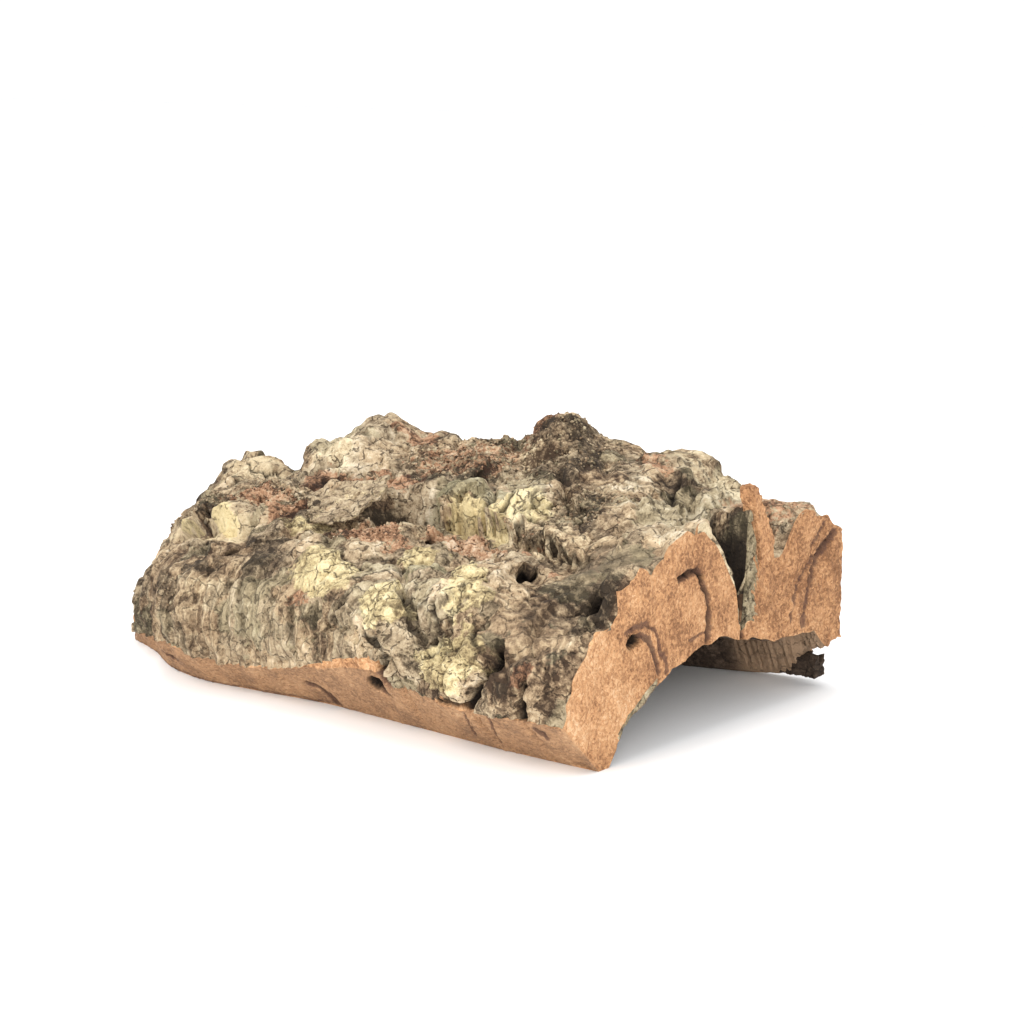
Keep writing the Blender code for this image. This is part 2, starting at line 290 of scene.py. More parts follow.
@dataclass
class BarkForm:
    """The slab's form, by the same tables as its solid."""

    length: float = 228.0
    back_left: float = -114.0
    front_left: float = -82.0
    front_length: float = 187.0
    foot_at: tuple[float, ...] = (0.0, 0.08, 0.16, 0.235, 0.36, 0.49, 0.60, 0.72, 0.84, 1.0)
    foot_y: tuple[float, ...] = (-68.0, -76.0, -87.0, -93.0, -95.0, -95.5, -99.0, -103.0, -107.0, -110.5)
    section_at: tuple[float, ...] = (0.0, 0.08, 0.20, 0.35, 0.50, 0.65, 0.80, 0.92, 1.0)
    section_arc: tuple[float, ...] = (0.0, 9.0, 19.0, 32.0, 52.0, 80.0, 106.0, 128.0)
    sections: tuple[Rows, ...] = (
        ((-69.0, 2.5), (-69.0, 8.0), (-66.0, 12.0), (-57.0, 16.0),
         (-42.0, 20.0), (-30.0, 26.0), (-15.0, 28.0), (0.0, 31.0)),
        ((-80.0, 5.5), (-82.0, 12.0), (-79.0, 20.0), (-70.0, 26.0),
         (-55.0, 31.0), (-38.0, 36.0), (-18.0, 39.0), (0.0, 42.0)),
        ((-101.0, 11.0), (-104.0, 20.0), (-100.0, 29.0), (-88.0, 36.0),
         (-70.0, 41.0), (-48.0, 42.0), (-22.0, 41.0), (0.0, 41.0)),
        ((-105.0, 9.0), (-108.0, 19.0), (-105.0, 30.0), (-92.0, 39.0),
         (-75.0, 44.0), (-50.0, 48.0), (-22.0, 53.0), (0.0, 55.0)),
        ((-111.0, 13.0), (-113.0, 22.0), (-109.0, 31.0), (-97.0, 38.0),
         (-78.0, 44.0), (-50.0, 50.0), (-22.0, 55.0), (0.0, 57.0)),
        ((-118.0, 18.0), (-119.0, 25.0), (-114.0, 32.0), (-101.0, 39.0),
         (-82.0, 45.0), (-52.0, 52.0), (-24.0, 57.0), (0.0, 60.0)),
        ((-122.0, 13.5), (-123.0, 23.0), (-118.0, 31.0), (-105.0, 39.0),
         (-85.0, 46.0), (-58.0, 53.0), (-28.0, 56.0), (0.0, 56.0)),
        ((-125.0, 14.0), (-124.0, 23.0), (-118.0, 31.0), (-106.0, 38.0),
         (-88.0, 46.0), (-62.0, 54.0), (-32.0, 53.0), (0.0, 48.0)),
        ((-126.5, 14.4), (-122.0, 23.4), (-115.0, 31.6), (-103.0, 38.0),
         (-88.0, 46.5), (-66.0, 54.8), (-34.0, 52.0), (0.0, 42.0)),
    )
    arch_at: tuple[float, ...] = (0.0, 0.08, 0.20, 0.35, 0.60, 1.0)
    arch_rise: tuple[float, ...] = (9.0, 13.0, 18.5, 22.0, 24.0, 24.0)
    arch_share: tuple[float, ...] = (
        0.0, 0.065, 0.12, 0.17, 0.30, 0.42, 0.53, 0.62, 0.72, 0.80, 0.88, 0.93, 0.96, 1.0)
    arch_shape: tuple[float, ...] = (
        0.0, 0.0, 0.55, 0.68, 0.77, 0.88, 1.0, 0.94, 0.83, 0.64, 0.42, 0.20, 0.0, 0.0)
    belly_share: tuple[float, ...] = (1.0, 0.95, 0.89, 0.825, 0.74, 0.59, 0.30, 0.0)
    rear_rim_at: tuple[float, ...] = (0.0, 0.05, 0.12, 0.80, 0.90, 0.955, 0.972, 1.0)
    rear_rim_z: tuple[float, ...] = (4.0, 1.5, 0.0, 0.0, 1.5, 3.0, 12.3, 13.0)
    belly_roughness: float = 0.9
    # Lump: a, b, half length, half width, height, turn in degrees, softness of its rim
    lump_rows: Rows = (
        (30.0, 118.0, 19.0, 13.0, 3.0, 0.0, 0.9),
        (74.0, 113.0, 16.0, 22.0, 6.5, 0.0, 0.4),
        (144.0, 119.0, 10.0, 12.0, 9.5, 0.0, 0.8),
        (156.0, 103.0, 11.0, 16.0, 5.5, 35.0, 0.8),
        (188.0, 121.0, 18.0, 14.0, 4.0, -15.0, 0.9),
        (176.0, 92.0, 22.0, 12.0, 2.0, 0.0, 0.9),
        (120.0, 116.0, 18.0, 14.0, 2.0, 0.0, 0.9),
        (60.0, 74.0, 20.0, 12.0, 2.5, 10.0, 0.6),
        (100.0, 72.0, 14.0, 9.0, 3.0, 0.0, 0.4),
        (170.0, 34.0, 20.0, 12.0, 2.5, 0.0, 0.7),
        (110.0, 40.0, 18.0, 10.0, 2.0, 0.0, 0.6),
        (54.0, 119.0, 5.0, 16.0, -4.0, 0.0, 0.6),
        (118.5, 69.5, 12.5, 9.0, -8.5, 0.0, 0.5),
        (190.0, 42.0, 6.0, 5.0, -4.0, 0.0, 0.6),
        (222.5, 27.5, 7.0, 4.0, -2.2, 0.0, 0.6),
        (228.0, 41.0, 10.0, 8.0, 6.3, 0.0, 0.35),
        (228.0, 106.0, 14.0, 6.5, -13.0, 0.0, 0.6),
        (226.0, 120.5, 8.0, 4.5, 2.0, 0.0, 0.8),
        (214.0, 98.5, 14.0, 4.0, 1.5, -8.0, 0.7),
    )
    # Plate edge across the top: a, b and the height of the step there
    step_line: Rows = (
        (6.0, 60.0, 0.0), (14.0, 57.0, 4.5), (22.0, 55.0, 7.0), (35.0, 52.0, 7.5), (36.5, 56.0, 7.5),
        (40.0, 56.0, 7.5), (41.5, 49.0, 7.5), (62.0, 47.5, 7.0), (66.0, 52.0, 5.0),
        (76.0, 52.0, 2.5), (84.0, 60.0, 3.0), (96.0, 58.0, 4.0), (109.0, 58.0, 4.5), (114.0, 70.0, 4.0),
        (122.0, 77.0, 5.0), (130.0, 79.0, 8.0), (131.4, 78.0, 9.0), (132.4, 69.5, 10.5), (137.0, 69.0, 10.5),
        (137.5, 76.0, 10.5), (139.0, 76.0, 10.5), (139.5, 68.5, 10.5), (153.0, 67.0, 9.0), (166.0, 64.5, 6.5),
        (180.0, 60.0, 5.0), (195.0, 56.0, 4.0), (208.0, 56.0, 0.0),
    )
    step_width: float = 1.8
    step_reach: float = 24.0
    block_pitch: float = 5.2
    block_depth: float = 1.1
    # Fissure: depth, half width, and its points (a, b)
    fissure_rows: tuple[tuple[float, float, Rows], ...] = (
        (7.0, 2.6, ((198.0, 18.5), (200.5, 14.5), (196.8, 10.5), (198.0, 8.0), (194.5, 4.0), (191.5, 0.5))),
        (4.5, 2.4, ((150.0, 12.0), (157.0, 6.0), (159.0, 0.0))),
        (5.5, 2.4, ((214.0, 8.5), (212.3, 0.0))),
        (4.0, 2.2, ((38.0, 60.0), (40.0, 50.0), (43.0, 42.0))),
        (3.5, 2.2, ((151.0, 27.0), (162.0, 23.5), (164.0, 19.8), (168.0, 17.0))),
        (3.0, 2.2, ((177.0, 26.0), (176.5, 21.6), (180.0, 16.6), (177.0, 11.5))),
        (4.0, 2.4, ((139.0, 88.0), (146.0, 80.0), (150.0, 70.0))),
        (3.5, 2.4, ((160.0, 94.0), (172.0, 84.0), (186.0, 76.0))),
        (3.0, 2.4, ((86.0, 88.0), (98.0, 96.0), (112.0, 100.0))),
        (3.0, 2.4, ((54.0, 92.0), (66.0, 88.0), (78.0, 92.0))),
    )
    furrow_rows: Rows = (
        (182.0, 111.0, 0.0), (196.0, 108.0, 4.0), (206.0, 103.5, 8.0), (215.0, 98.0, 15.0),
        (222.0, 95.6, 24.0), (228.0, 94.6, 30.0))
    furrow_front: float = 15.0
    furrow_curve: float = 1.3
    furrow_slope: float = 0.85
    furrow_slot: float = 2.6
    gather_width: float = 13.0
    gather: float = 0.62
    step_gather: float = 0.45
    rough_size: float = 15.0
    rough_height: float = 1.6
    plate_size: float = 21.0
    plate_height: float = 3.0
    crack_size: float = 19.0
    crack_depth: float = 2.2
    crack_width: float = 0.2
    rib_pitch: float = 9.5
    rib_height: float = 1.1

    @property
    def girth(self) -> float:
        """Length over the bark from the front band to the back."""
        return self.section_arc[-1]

    def plan_x(self, s: Array, y: Array) -> Array:
        """Give X at share s of the length and at y, on the line from front to back."""
        foot = hermite(self.foot_at, self.foot_y, s)
        back = self.back_left + self.length * s
        front = self.front_left + self.front_length * s
        return back + (front - back) * y / foot

    def bark_form(self, s: Array, t: Array) -> Array:
        """Give the bark side without relief: s along, t from the front band to the back."""
        arcs = np.array(self.section_arc) / self.girth
        rows = np.stack([hermite(arcs, section, t) for section in self.sections])
        y, z = hermite(self.section_at, rows, s, pointwise=True).T
        return np.stack([self.plan_x(s, y), y, z], axis=1)

    def belly_form(self, s: Array, t: Array) -> Array:
        """Give the underside: a rough arch on the front foot and on the rear rim."""
        arcs = np.array(self.section_arc) / self.girth
        share = np.clip(hermite(arcs, self.belly_share, t), 0.0, 1.0)
        y = share * hermite(self.foot_at, self.foot_y, s)
        arch = np.interp(share, self.arch_share, self.arch_shape)
        rim = np.interp(s, self.rear_rim_at, self.rear_rim_z) * smooth_step(0.30, 0.0, share)
        x = self.plan_x(s, y)
        places = np.stack([x / 34.0, y / 15.0, np.full_like(x, 3.0)], axis=1)
        z = arch * (hermite(self.arch_at, self.arch_rise, s) - rim) + rim
        z += fractal(places, 1.0, 2, gain=1.0) * self.belly_roughness * smooth_step(0.0, 6.0, z)
        return np.stack([x, y, np.maximum(z, 0.0)], axis=1)

    def normals(self, s: Array, t: Array) -> Array:
        """Give unit normals of the plain form, turned along the sawn faces at its edges."""
        step = 1e-3
        along = self.bark_form(np.minimum(s + step, 1), t) - self.bark_form(np.maximum(s - step, 0), t)
        over = self.bark_form(s, np.minimum(t + step, 1)) - self.bark_form(s, np.maximum(t - step, 0))
        normals = np.cross(along, over)
        normals /= np.linalg.norm(normals, axis=1, keepdims=True)
        for end, nx, ny in ((0.0, -0.905, -0.425), (1.0, 0.996, -0.087)):
            across = normals[:, 0] * nx + normals[:, 1] * ny
            near = across * smooth_step(9.0, 1.0, np.abs(s - end) * self.length)
            normals[:, 0] -= nx * near
            normals[:, 1] -= ny * near
        normals[:, 1] *= smooth_step(1.0, 0.94, t)
        return normals

    def lumps(self, a: Array, b: Array) -> Array:
        """Give the rounded knobs, humps and hollows."""
        total = np.zeros_like(a)
        for at_a, at_b, half_a, half_b, height, turn, soft in self.lump_rows:
            angle = np.radians(turn)
            da = (a - at_a) * np.cos(angle) + (b - at_b) * np.sin(angle)
            db = (b - at_b) * np.cos(angle) - (a - at_a) * np.sin(angle)
            away = np.sqrt((da / half_a) ** 2 + (db / half_b) ** 2)
            total += height * smooth_step(1 + soft / 2, 1 - soft * 0.9, away)
        return total

    def step_edge(self, a: Array) -> tuple[Array, Array]:
        """Give where the broken plate edge runs at a, and how high it is there."""
        line = np.array(self.step_line)
        edge = np.interp(a, line[:, 0], line[:, 1])
        height = np.interp(a, line[:, 0], line[:, 2], left=0.0, right=0.0)
        return edge, height

    def plate_step(self, a: Array, b: Array) -> Array:
        """Give the broken plate edge, whose face stands in upright blocks above the pit."""
        edge, height = self.step_edge(a)
        blocks = np.tanh(4.0 * np.sin(a * 2 * np.pi / self.block_pitch + 1.2 * np.sin(a / 4.1)))
        away = b - edge - self.block_depth * blocks * smooth_step(122.0, 134.0, a)
        fade = np.clip(1 - np.abs(away) / self.step_reach, 0.0, 1.0)
        rise = smooth_step(-self.step_width / 2, self.step_width / 2, away) - 0.5
        return height * rise * fade

    def fissures(self, a: Array, b: Array) -> Array:
        """Give the deep cracks, as negative heights."""
        total = np.zeros_like(a)
        for depth, half_width, points in self.fissure_rows:
            away = line_distance(a, b, points)
            total = np.minimum(total, -depth * smooth_step(half_width, 0.0, away))
        return total

    def rough_bark(self, a: Array, b: Array, form: Array) -> Array:
        """Give the broken plates, the cracks between them and the general roughness."""
        rough = fractal(form, self.rough_size, 3, gain=0.8)
        levels = np.array([noise.noise(Vector(place)) for place in form / self.plate_size]) * 3.0
        lift = levels - np.floor(levels)
        terrace = np.floor(levels) + np.clip((lift - 0.35) / 0.3, 0.0, 1.0)
        crack = np.maximum(0.0, 1 - crackle(form, self.crack_size) / self.crack_width)
        heights = rough * self.rough_height + terrace * self.plate_height / 2 - crack * self.crack_depth
        ribs = np.cos(form[:, 0] * 2 * np.pi / self.rib_pitch + 1.6 * np.sin(b / 13.0))
        on_flank = smooth_step(34.0, 20.0, b) * smooth_step(120.0, 85.0, a)
        return heights * (1 - 0.6 * on_flank) + self.rib_height * ribs * on_flank

    def furrow_line(self, a: Array) -> tuple[Array, Array]:
        """Give where the furrow runs at a, and how deep it is there."""
        line = np.array(self.furrow_rows)
        centre = np.interp(a, line[:, 0], line[:, 1])
        depth = np.interp(a, line[:, 0], line[:, 2], left=0.0)
        return centre, depth

    def gathered(self, s: Array, t: Array) -> Array:
        """Draw the mesh rows closer to the furrow and to the plate edge, which are steep."""
        centre, depth = self.furrow_line(s * self.length)
        b = t * self.girth
        away = b - centre
        pull = self.gather * smooth_step(0.0, 15.0, depth) * np.exp(-((away / self.gather_width) ** 2))
        pull *= smooth_step(0.0, self.gather_width, self.girth - b)
        b = b - away * pull
        edge, height = self.step_edge(s * self.length)
        away = b - edge
        pull = self.step_gather * smooth_step(0.0, 5.0, height) * np.exp(-((away / 7.0) ** 2))
        return (b - away * pull) / self.girth

    def furrow_depth(self, a: Array, b: Array) -> Array:
        """Give the furrow that splits the right end: a long slope, a slot, a steep rear wall."""
        centre, depth = self.furrow_line(a)
        away = b - centre
        slope = np.clip(1 + away / self.furrow_front, 0.0, 1.0) ** self.furrow_curve
        slot = smooth_step(self.furrow_slot, 0.0, np.abs(away))
        front = self.furrow_slope * slope + (1 - self.furrow_slope) * slot
        return depth * np.where(away < 0, front, smooth_step(self.furrow_slot, 0.0, away))

    def bark_surface(self, s: Array, t: Array) -> Array:
        """Give the bark side with its relief."""
        form = self.bark_form(s, t)
        a, b = s * self.length, t * self.girth
        height = self.lumps(a, b) + self.plate_step(a, b) + self.fissures(a, b)
        height += self.rough_bark(a, b, form)
        height *= smooth_step(-2.0, 10.0, b) * 0.5 + 0.5
        surface = form + self.normals(s, t) * height[:, None]
        surface[:, 2] -= self.furrow_depth(a, b)
        return surface


class Cover(Enum):
    """What lies on a place of the bark. Pale and dark only shift its tone."""

    LICHEN = 0
    CREAM = 1
    RUST = 2
    PALE = 3
    DARK = 4
    OLIVE = 5


class Grain(Enum):
    """How a place of the bark is broken up."""

    CRUMB = 0
    SMOOTH = 1
    WAVES = 2
    RIBS = 3
    CRACKED = 4


class Shift(Enum):
    """How the colour of a plate of bark differs from its neighbours'."""

    TONE = 0
    WARM = 1
    CALM = 2


@dataclass(frozen=True)
class Patch:
    """A named place on the bark: centre, half sizes, turn in degrees, and how strong it is."""

    kind: Cover | Grain
    a: float
    b: float
    half_a: float
    half_b: float
    turn: float = 0.0
    strength: float = 1.0
    soft: float = 0.6
    rise: float = 0.0

    def mask(self, a: Array, b: Array) -> Array:
        """Give 1 inside the patch and 0 outside it, with a soft rim."""
        angle = math.radians(self.turn)
        da = (a - self.a) * math.cos(angle) + (b - self.b) * math.sin(angle)
        db = (b - self.b) * math.cos(angle) - (a - self.a) * math.sin(angle)
        away = np.sqrt((da / self.half_a) ** 2 + (db / self.half_b) ** 2)
        return smooth_step(1 + self.soft / 2, 1 - self.soft / 2, away)


@dataclass(frozen=True)
class Groove:
    """A crack or a growth line: its points, half width, depth, and how much near-black painted shade fills
    it.
    """

    points: Rows
    half_width: float
    depth: float
    shade_share: float = 0.0


@dataclass(frozen=True)
class Hole:
    """A hole in the bark: centre, half sizes and depth."""

    a: float
    b: float
    half_a: float
    half_b: float
    depth: float


@dataclass
class BarkSkin:
    """The bark's fine relief and what covers it."""

    patches: tuple[Patch, ...] = (
        Patch(Cover.LICHEN, 117, 29, 15, 8, -12, rise=0.5),
        Patch(Cover.LICHEN, 151, 21, 12, 5, -8, rise=0.6),
        Patch(Cover.LICHEN, 180, 28.5, 10, 5, 0, 0.7, rise=0.5),
        Patch(Cover.LICHEN, 183, 13, 14, 8.5, 8, 1.0, rise=1.0),
        Patch(Cover.LICHEN, 160, 73, 13, 8, 0, 0.75),
        Patch(Cover.LICHEN, 148, 69, 14, 4.5, 0, 1.0, 0.4),
        Patch(Cover.LICHEN, 147, 44, 7, 5, 0, 0.9),
        Patch(Cover.LICHEN, 92, 52, 13, 4, 0, 0.8),
        Patch(Cover.LICHEN, 55, 48, 8, 4, 0, 0.9),
        Patch(Cover.LICHEN, 21, 57, 8, 4, -15, 0.9),
        Patch(Cover.LICHEN, 177, 31, 8, 6, 0, 0.9, rise=0.6),
        Patch(Cover.CREAM, 20, 58, 14, 6.5, -15),
        Patch(Cover.CREAM, 52, 47.5, 11.5, 7.5, 0),
        Patch(Cover.CREAM, 67, 19, 7, 4, 20, 0.9),
        Patch(Cover.CREAM, 100, 70, 4.2, 4.5, 0, rise=2.0, soft=0.3),
        Patch(Cover.CREAM, 190, 60, 10, 6, 0, rise=1.3, soft=0.3),
        Patch(Cover.CREAM, 204, 62.5, 4.5, 3.2, 0, rise=1.2, soft=0.3),
        Patch(Cover.CREAM, 33, 117, 19, 11, 0, 1.0, 0.4),
        Patch(Cover.CREAM, 76, 94, 7, 3.5, 0),
        Patch(Cover.CREAM, 142, 104, 7, 4, 0, 0.9),
        Patch(Cover.CREAM, 60, 47.5, 6, 5, 0),
        Patch(Cover.CREAM, 172, 67, 10, 6, 0, 0.8),
        Patch(Cover.CREAM, 131, 61, 6, 7, 20, 1.0, 0.4, rise=1.2),
        Patch(Cover.CREAM, 190, 122, 14, 6, 0, 0.6),
        Patch(Cover.RUST, 86, 84, 12, 5, 0, 0.9),
        Patch(Cover.RUST, 17, 108, 6, 5, 0),
        Patch(Cover.RUST, 77, 58, 8, 6, 0, 0.9),
        Patch(Cover.RUST, 60, 66, 16, 8.5, 0, 0.75),
        Patch(Cover.RUST, 80, 85, 9, 5, 0, 1.0),
        Patch(Cover.RUST, 95, 82, 14, 6, 0, 1.0),
        Patch(Cover.RUST, 109, 87, 8, 4, 0, 0.8),
        Patch(Cover.RUST, 92, 118, 8, 5, 0, 0.7),
        Patch(Cover.RUST, 116, 52, 14, 8, 0),
        Patch(Cover.RUST, 132, 49, 3.5, 4, 0, 0.8),
        Patch(Cover.RUST, 152, 58, 16, 5, 0),
        Patch(Cover.RUST, 178, 57, 10, 2.5, 0, 0.6),
        Patch(Cover.RUST, 120, 104, 22, 14, 0, 0.55),
        Patch(Cover.RUST, 136, 118, 6, 6, 0),
        Patch(Cover.RUST, 178, 112, 6, 5, 0, 0.6),
        Patch(Cover.RUST, 214, 117, 13, 9, 0, 0.6),
        Patch(Cover.RUST, 110, 20, 4, 3, 0, 0.6),
        Patch(Cover.RUST, 213, 9.5, 4.5, 2.5, 0, 0.9),
        Patch(Cover.RUST, 195, 46.5, 2.4, 2.4, 0, 1.0),
        Patch(Cover.PALE, 33, 117, 20, 11, 0, 0.35),
        Patch(Cover.PALE, 153, 58, 16, 5, 0, 1.0),
        Patch(Cover.PALE, 206, 84, 18, 10, 0, 0.9),
        Patch(Cover.PALE, 122, 74, 7, 6, 0, 0.9),
        Patch(Cover.PALE, 176, 32, 10, 7, 0, 1.0),
        Patch(Cover.PALE, 76, 25, 4, 2.5, 0, 1.0),
        Patch(Cover.PALE, 82, 102, 18, 16, 0, 0.8),
        Patch(Cover.PALE, 138, 36, 40, 13, 0, 0.5, 0.9),
        Patch(Cover.PALE, 224, 85, 5, 11, 0, 1.0),
        Patch(Cover.PALE, 160, 27, 12, 7, 0, 0.6, 0.9),
        Patch(Cover.PALE, 200, 114, 20, 9, -20, 0.9),
        Patch(Cover.PALE, 190, 94, 18, 10, 0, 0.6, 0.9),
        Patch(Cover.PALE, 158, 80, 22, 9, 0, 0.7, 0.9),
        Patch(Cover.PALE, 224, 68, 8, 6, 0, 0.9, 0.9),
        Patch(Cover.PALE, 174, 40, 14, 7, 0, 0.9, 0.9),
        Patch(Cover.PALE, 86, 12, 26, 14, 0, 0.35, 0.9),
        Patch(Cover.PALE, 150, 12, 24, 8, 0, 0.6, 0.9),
        Patch(Cover.PALE, 174, 33, 12, 8, 0, 1.0),
        Patch(Cover.DARK, 49, 16, 6, 6, 0, 0.9, 0.8),
        Patch(Cover.DARK, 30, 26, 20, 14, 0, 0.4, 0.9),
        Patch(Cover.DARK, 80, 27, 7, 3.5, 0, 0.8),
        Patch(Cover.DARK, 60, 36, 26, 6, 0, 0.6, 0.9),
        Patch(Cover.DARK, 14, 84, 16, 16, 0, 0.6, 0.9),
        Patch(Cover.DARK, 111, 68, 8, 7, 0, 1.0, 0.5),
        Patch(Cover.DARK, 43, 61, 10, 7, 0, 0.9),
        Patch(Cover.DARK, 218, 36, 14, 8, 0, 1.0),
        Patch(Cover.DARK, 74, 30, 24, 10, 0, 1.0, 0.8),
        Patch(Cover.DARK, 203, 24, 16, 9, 0, 0.6),
        Patch(Cover.DARK, 209, 10, 15, 9, 0, 0.9),
        Patch(Cover.DARK, 126, 11, 16, 9, 0, 0.45, 0.9),
        Patch(Cover.DARK, 26, 12, 24, 12, 0, 0.5, 0.9),
        Patch(Cover.DARK, 78, 84, 6, 4, 0, 0.9),
        Patch(Cover.DARK, 84, 60, 7, 5, 0, 0.8),
        Patch(Cover.DARK, 132, 91, 6, 7, 0, 1.0),
        Patch(Cover.DARK, 115, 92, 6, 4, 0, 0.9),
        Patch(Cover.DARK, 128, 122, 16, 6, 0, 0.6),
        Patch(Cover.DARK, 144, 110, 5, 12, 0, 0.9),
        Patch(Cover.DARK, 156, 105, 13, 18, 25, 1.0, 0.9),
        Patch(Cover.DARK, 182, 83, 15, 12, 0, 1.0, 0.7),
        Patch(Cover.DARK, 193, 110, 9, 6, 0, 0.9, 0.8),
        Patch(Cover.DARK, 220, 96, 12, 7, 0, 0.9, 0.8),
        Patch(Cover.DARK, 212, 34, 14, 9, 0, 0.8, 0.9),
        Patch(Cover.DARK, 203, 12, 7, 8, 0, 0.6, 0.9),
        Patch(Cover.DARK, 214, 51, 18, 11, 0, 0.6, 0.9),
        Patch(Cover.DARK, 38, 54, 3, 8, 0, 1.0),
        Patch(Cover.DARK, 221, 10, 8, 9, 0, 0.8),
        Patch(Cover.DARK, 216, 101, 9, 6, 0, 0.9, 0.9),
        Patch(Cover.OLIVE, 141, 80, 12, 6, 0, 1.0),
        Patch(Cover.OLIVE, 134, 77, 8, 6, 0, 1.0, 0.5, rise=2.6),
        Patch(Cover.OLIVE, 152, 39, 9, 5, 0, 0.8),
        Patch(Cover.OLIVE, 120, 10, 46, 10, 0, 0.35, 0.9),
        Patch(Grain.CRUMB, 152, 108, 16, 20, 20, 0.5),
        Patch(Grain.CRUMB, 122, 106, 26, 18, 0, 0.9),
        Patch(Grain.CRUMB, 58, 68, 24, 12, 0, 0.9),
        Patch(Grain.CRUMB, 116, 52, 16, 8, 0),
        Patch(Grain.CRUMB, 156, 57, 20, 6, 0),
        Patch(Grain.CRUMB, 182, 84, 15, 12, 0, 0.8),
        Patch(Grain.CRUMB, 49, 16, 7, 6, 0, 0.8),
        Patch(Grain.CRUMB, 14, 84, 14, 16, 0, 0.6),
        Patch(Grain.SMOOTH, 204, 22, 16, 12, 0, 0.65, 0.8),
        Patch(Grain.SMOOTH, 214, 53, 17, 12, 0, 1.0, 0.7),
        Patch(Grain.SMOOTH, 148, 68, 14, 5, 0, 0.9),
        Patch(Grain.SMOOTH, 34, 117, 18, 10, 0, 0.75),
        Patch(Grain.SMOOTH, 52, 47, 13, 8, 0, 0.9),
        Patch(Grain.SMOOTH, 20, 58, 14, 7, -15, 0.9),
        Patch(Grain.SMOOTH, 70, 14, 50, 12, 0, 0.4, 0.9),
        Patch(Grain.WAVES, 208, 26, 22, 20, 0, 1.0, 0.7),
        Patch(Grain.WAVES, 198, 96, 26, 16, 0, 1.0, 0.7),
        Patch(Grain.RIBS, 84, 10, 66, 20, 0, 1.0, 0.7),
        Patch(Grain.CRACKED, 165, 74, 24, 12, 0),
        Patch(Grain.CRACKED, 193, 60, 12, 8, 0),
        Patch(Grain.CRACKED, 36, 110, 22, 16, 0),
        Patch(Grain.CRACKED, 150, 30, 50, 18, 0, 0.7),
        Patch(Grain.CRACKED, 150, 108, 22, 20, 0, 0.8),
        Patch(Grain.CRACKED, 214, 112, 14, 14, 0),
    )
    holes: tuple[Hole, ...] = (
        Hole(187.0, 45.0, 1.8, 5.0, 7.0),
        Hole(217.0, 36.5, 2.4, 3.2, 4.5),
        Hole(153.6, 2.4, 2.2, 4.4, 5.5),
        Hole(196.5, 111.0, 1.6, 2.2, 2.5),
        Hole(66.5, 34.0, 1.7, 2.4, 4.0),
        Hole(132.5, 89.5, 2.0, 5.0, 4.5),
        Hole(114.0, 91.5, 4.5, 2.0, 2.0),
        Hole(79.0, 84.5, 3.5, 2.2, 2.5),
        Hole(142.0, 56.0, 4.0, 2.4, 3.5),
        Hole(113.0, 68.0, 3.6, 5.0, 3.0),
        Hole(45.5, 42.0, 1.2, 7.0, 3.0),
        Hole(201.0, 55.0, 1.4, 3.0, 2.0),
    )
    grooves: tuple[Groove, ...] = (
        Groove(((22.0, 119.0), (27.0, 114.0), (33.0, 116.0), (38.0, 112.0)), 0.6, 1.2, 0.9),
        Groove(((33.0, 116.0), (35.0, 121.0), (42.0, 122.0)), 0.5, 1.0, 0.9),
        Groove(((40.0, 116.0), (45.0, 113.0), (48.0, 116.0)), 0.5, 1.0, 0.9),
        Groove(((189.0, 112.0), (191.0, 108.0), (193.0, 104.0)), 0.9, 1.8, 0.95),
        Groove(((35.0, 64.0), (40.0, 56.0), (44.0, 50.0)), 0.9, 1.6, 0.9),
        Groove(((179.0, 0.6), (186.0, 1.0), (192.0, 1.2)), 0.9, 1.4, 0.9),
        Groove(((169.5, 24.5), (171.0, 21.0), (172.0, 17.5)), 1.0, 1.8, 0.9),
        Groove(((154.0, 25.0), (161.0, 21.5), (164.0, 18.0)), 1.0, 1.8, 0.8),
        Groove(((178.0, 23.0), (174.5, 18.0), (175.5, 14.0), (171.0, 11.0)), 0.8, 1.4, 0.8),
        Groove(((188.0, 22.5), (190.0, 19.0), (192.5, 16.0)), 1.0, 1.6, 0.8),
        Groove(((145.5, 14.0), (148.5, 11.5), (151.0, 9.0)), 0.9, 1.4, 0.9),
        Groove(((128.0, 16.0), (131.0, 19.0), (133.0, 22.0)), 1.2, 1.8, 0.7),
        Groove(((107.5, 20.0), (109.0, 14.0), (110.0, 7.0)), 1.2, 1.4, 0.5),
        Groove(((84.0, 22.0), (86.0, 15.0), (86.0, 6.0)), 0.9, 1.0, 0.4),
        Groove(((58.0, 12.0), (60.0, 6.0), (61.0, 1.0)), 1.0, 1.2, 0.6),
        Groove(((181.0, 61.0), (190.0, 57.5), (198.0, 55.5)), 0.8, 1.4, 0.8),
        Groove(((184.0, 64.0), (193.0, 61.5)), 0.7, 1.0, 0.7),
        Groove(((166.0, 70.0), (172.0, 68.5), (177.0, 69.5)), 0.9, 1.4, 0.8),
        Groove(((155.0, 80.0), (158.0, 74.0), (157.0, 68.0)), 0.9, 1.6, 0.8),
        Groove(((163.0, 80.0), (166.0, 74.0), (165.0, 68.0)), 0.9, 1.4, 0.7),
        Groove(((200.0, 105.0), (208.0, 100.0), (214.0, 93.0)), 0.9, 1.2, 0.5),
        Groove(((82.0, 104.0), (92.0, 100.0), (98.0, 103.0)), 0.9, 1.2, 0.5),
        Groove(((211.0, 111.0), (217.0, 107.0), (222.0, 111.0)), 0.9, 1.4, 0.8),
    )
    # How far the patches' edges wander, and the share of it that cracks and holes follow
    warp_size: float = 9.0
    warp_reach: float = 4.2
    groove_warp: float = 0.3
    crumb_size: float = 5.0
    crumb_height: float = 0.5
    grit_size: float = 2.3
    grit_height: float = 0.6
    fine_size: float = 1.9
    fine_height: float = 0.32
    flake_size: float = 9.0
    flake_height: float = 0.95
    flake_crack: float = 0.5
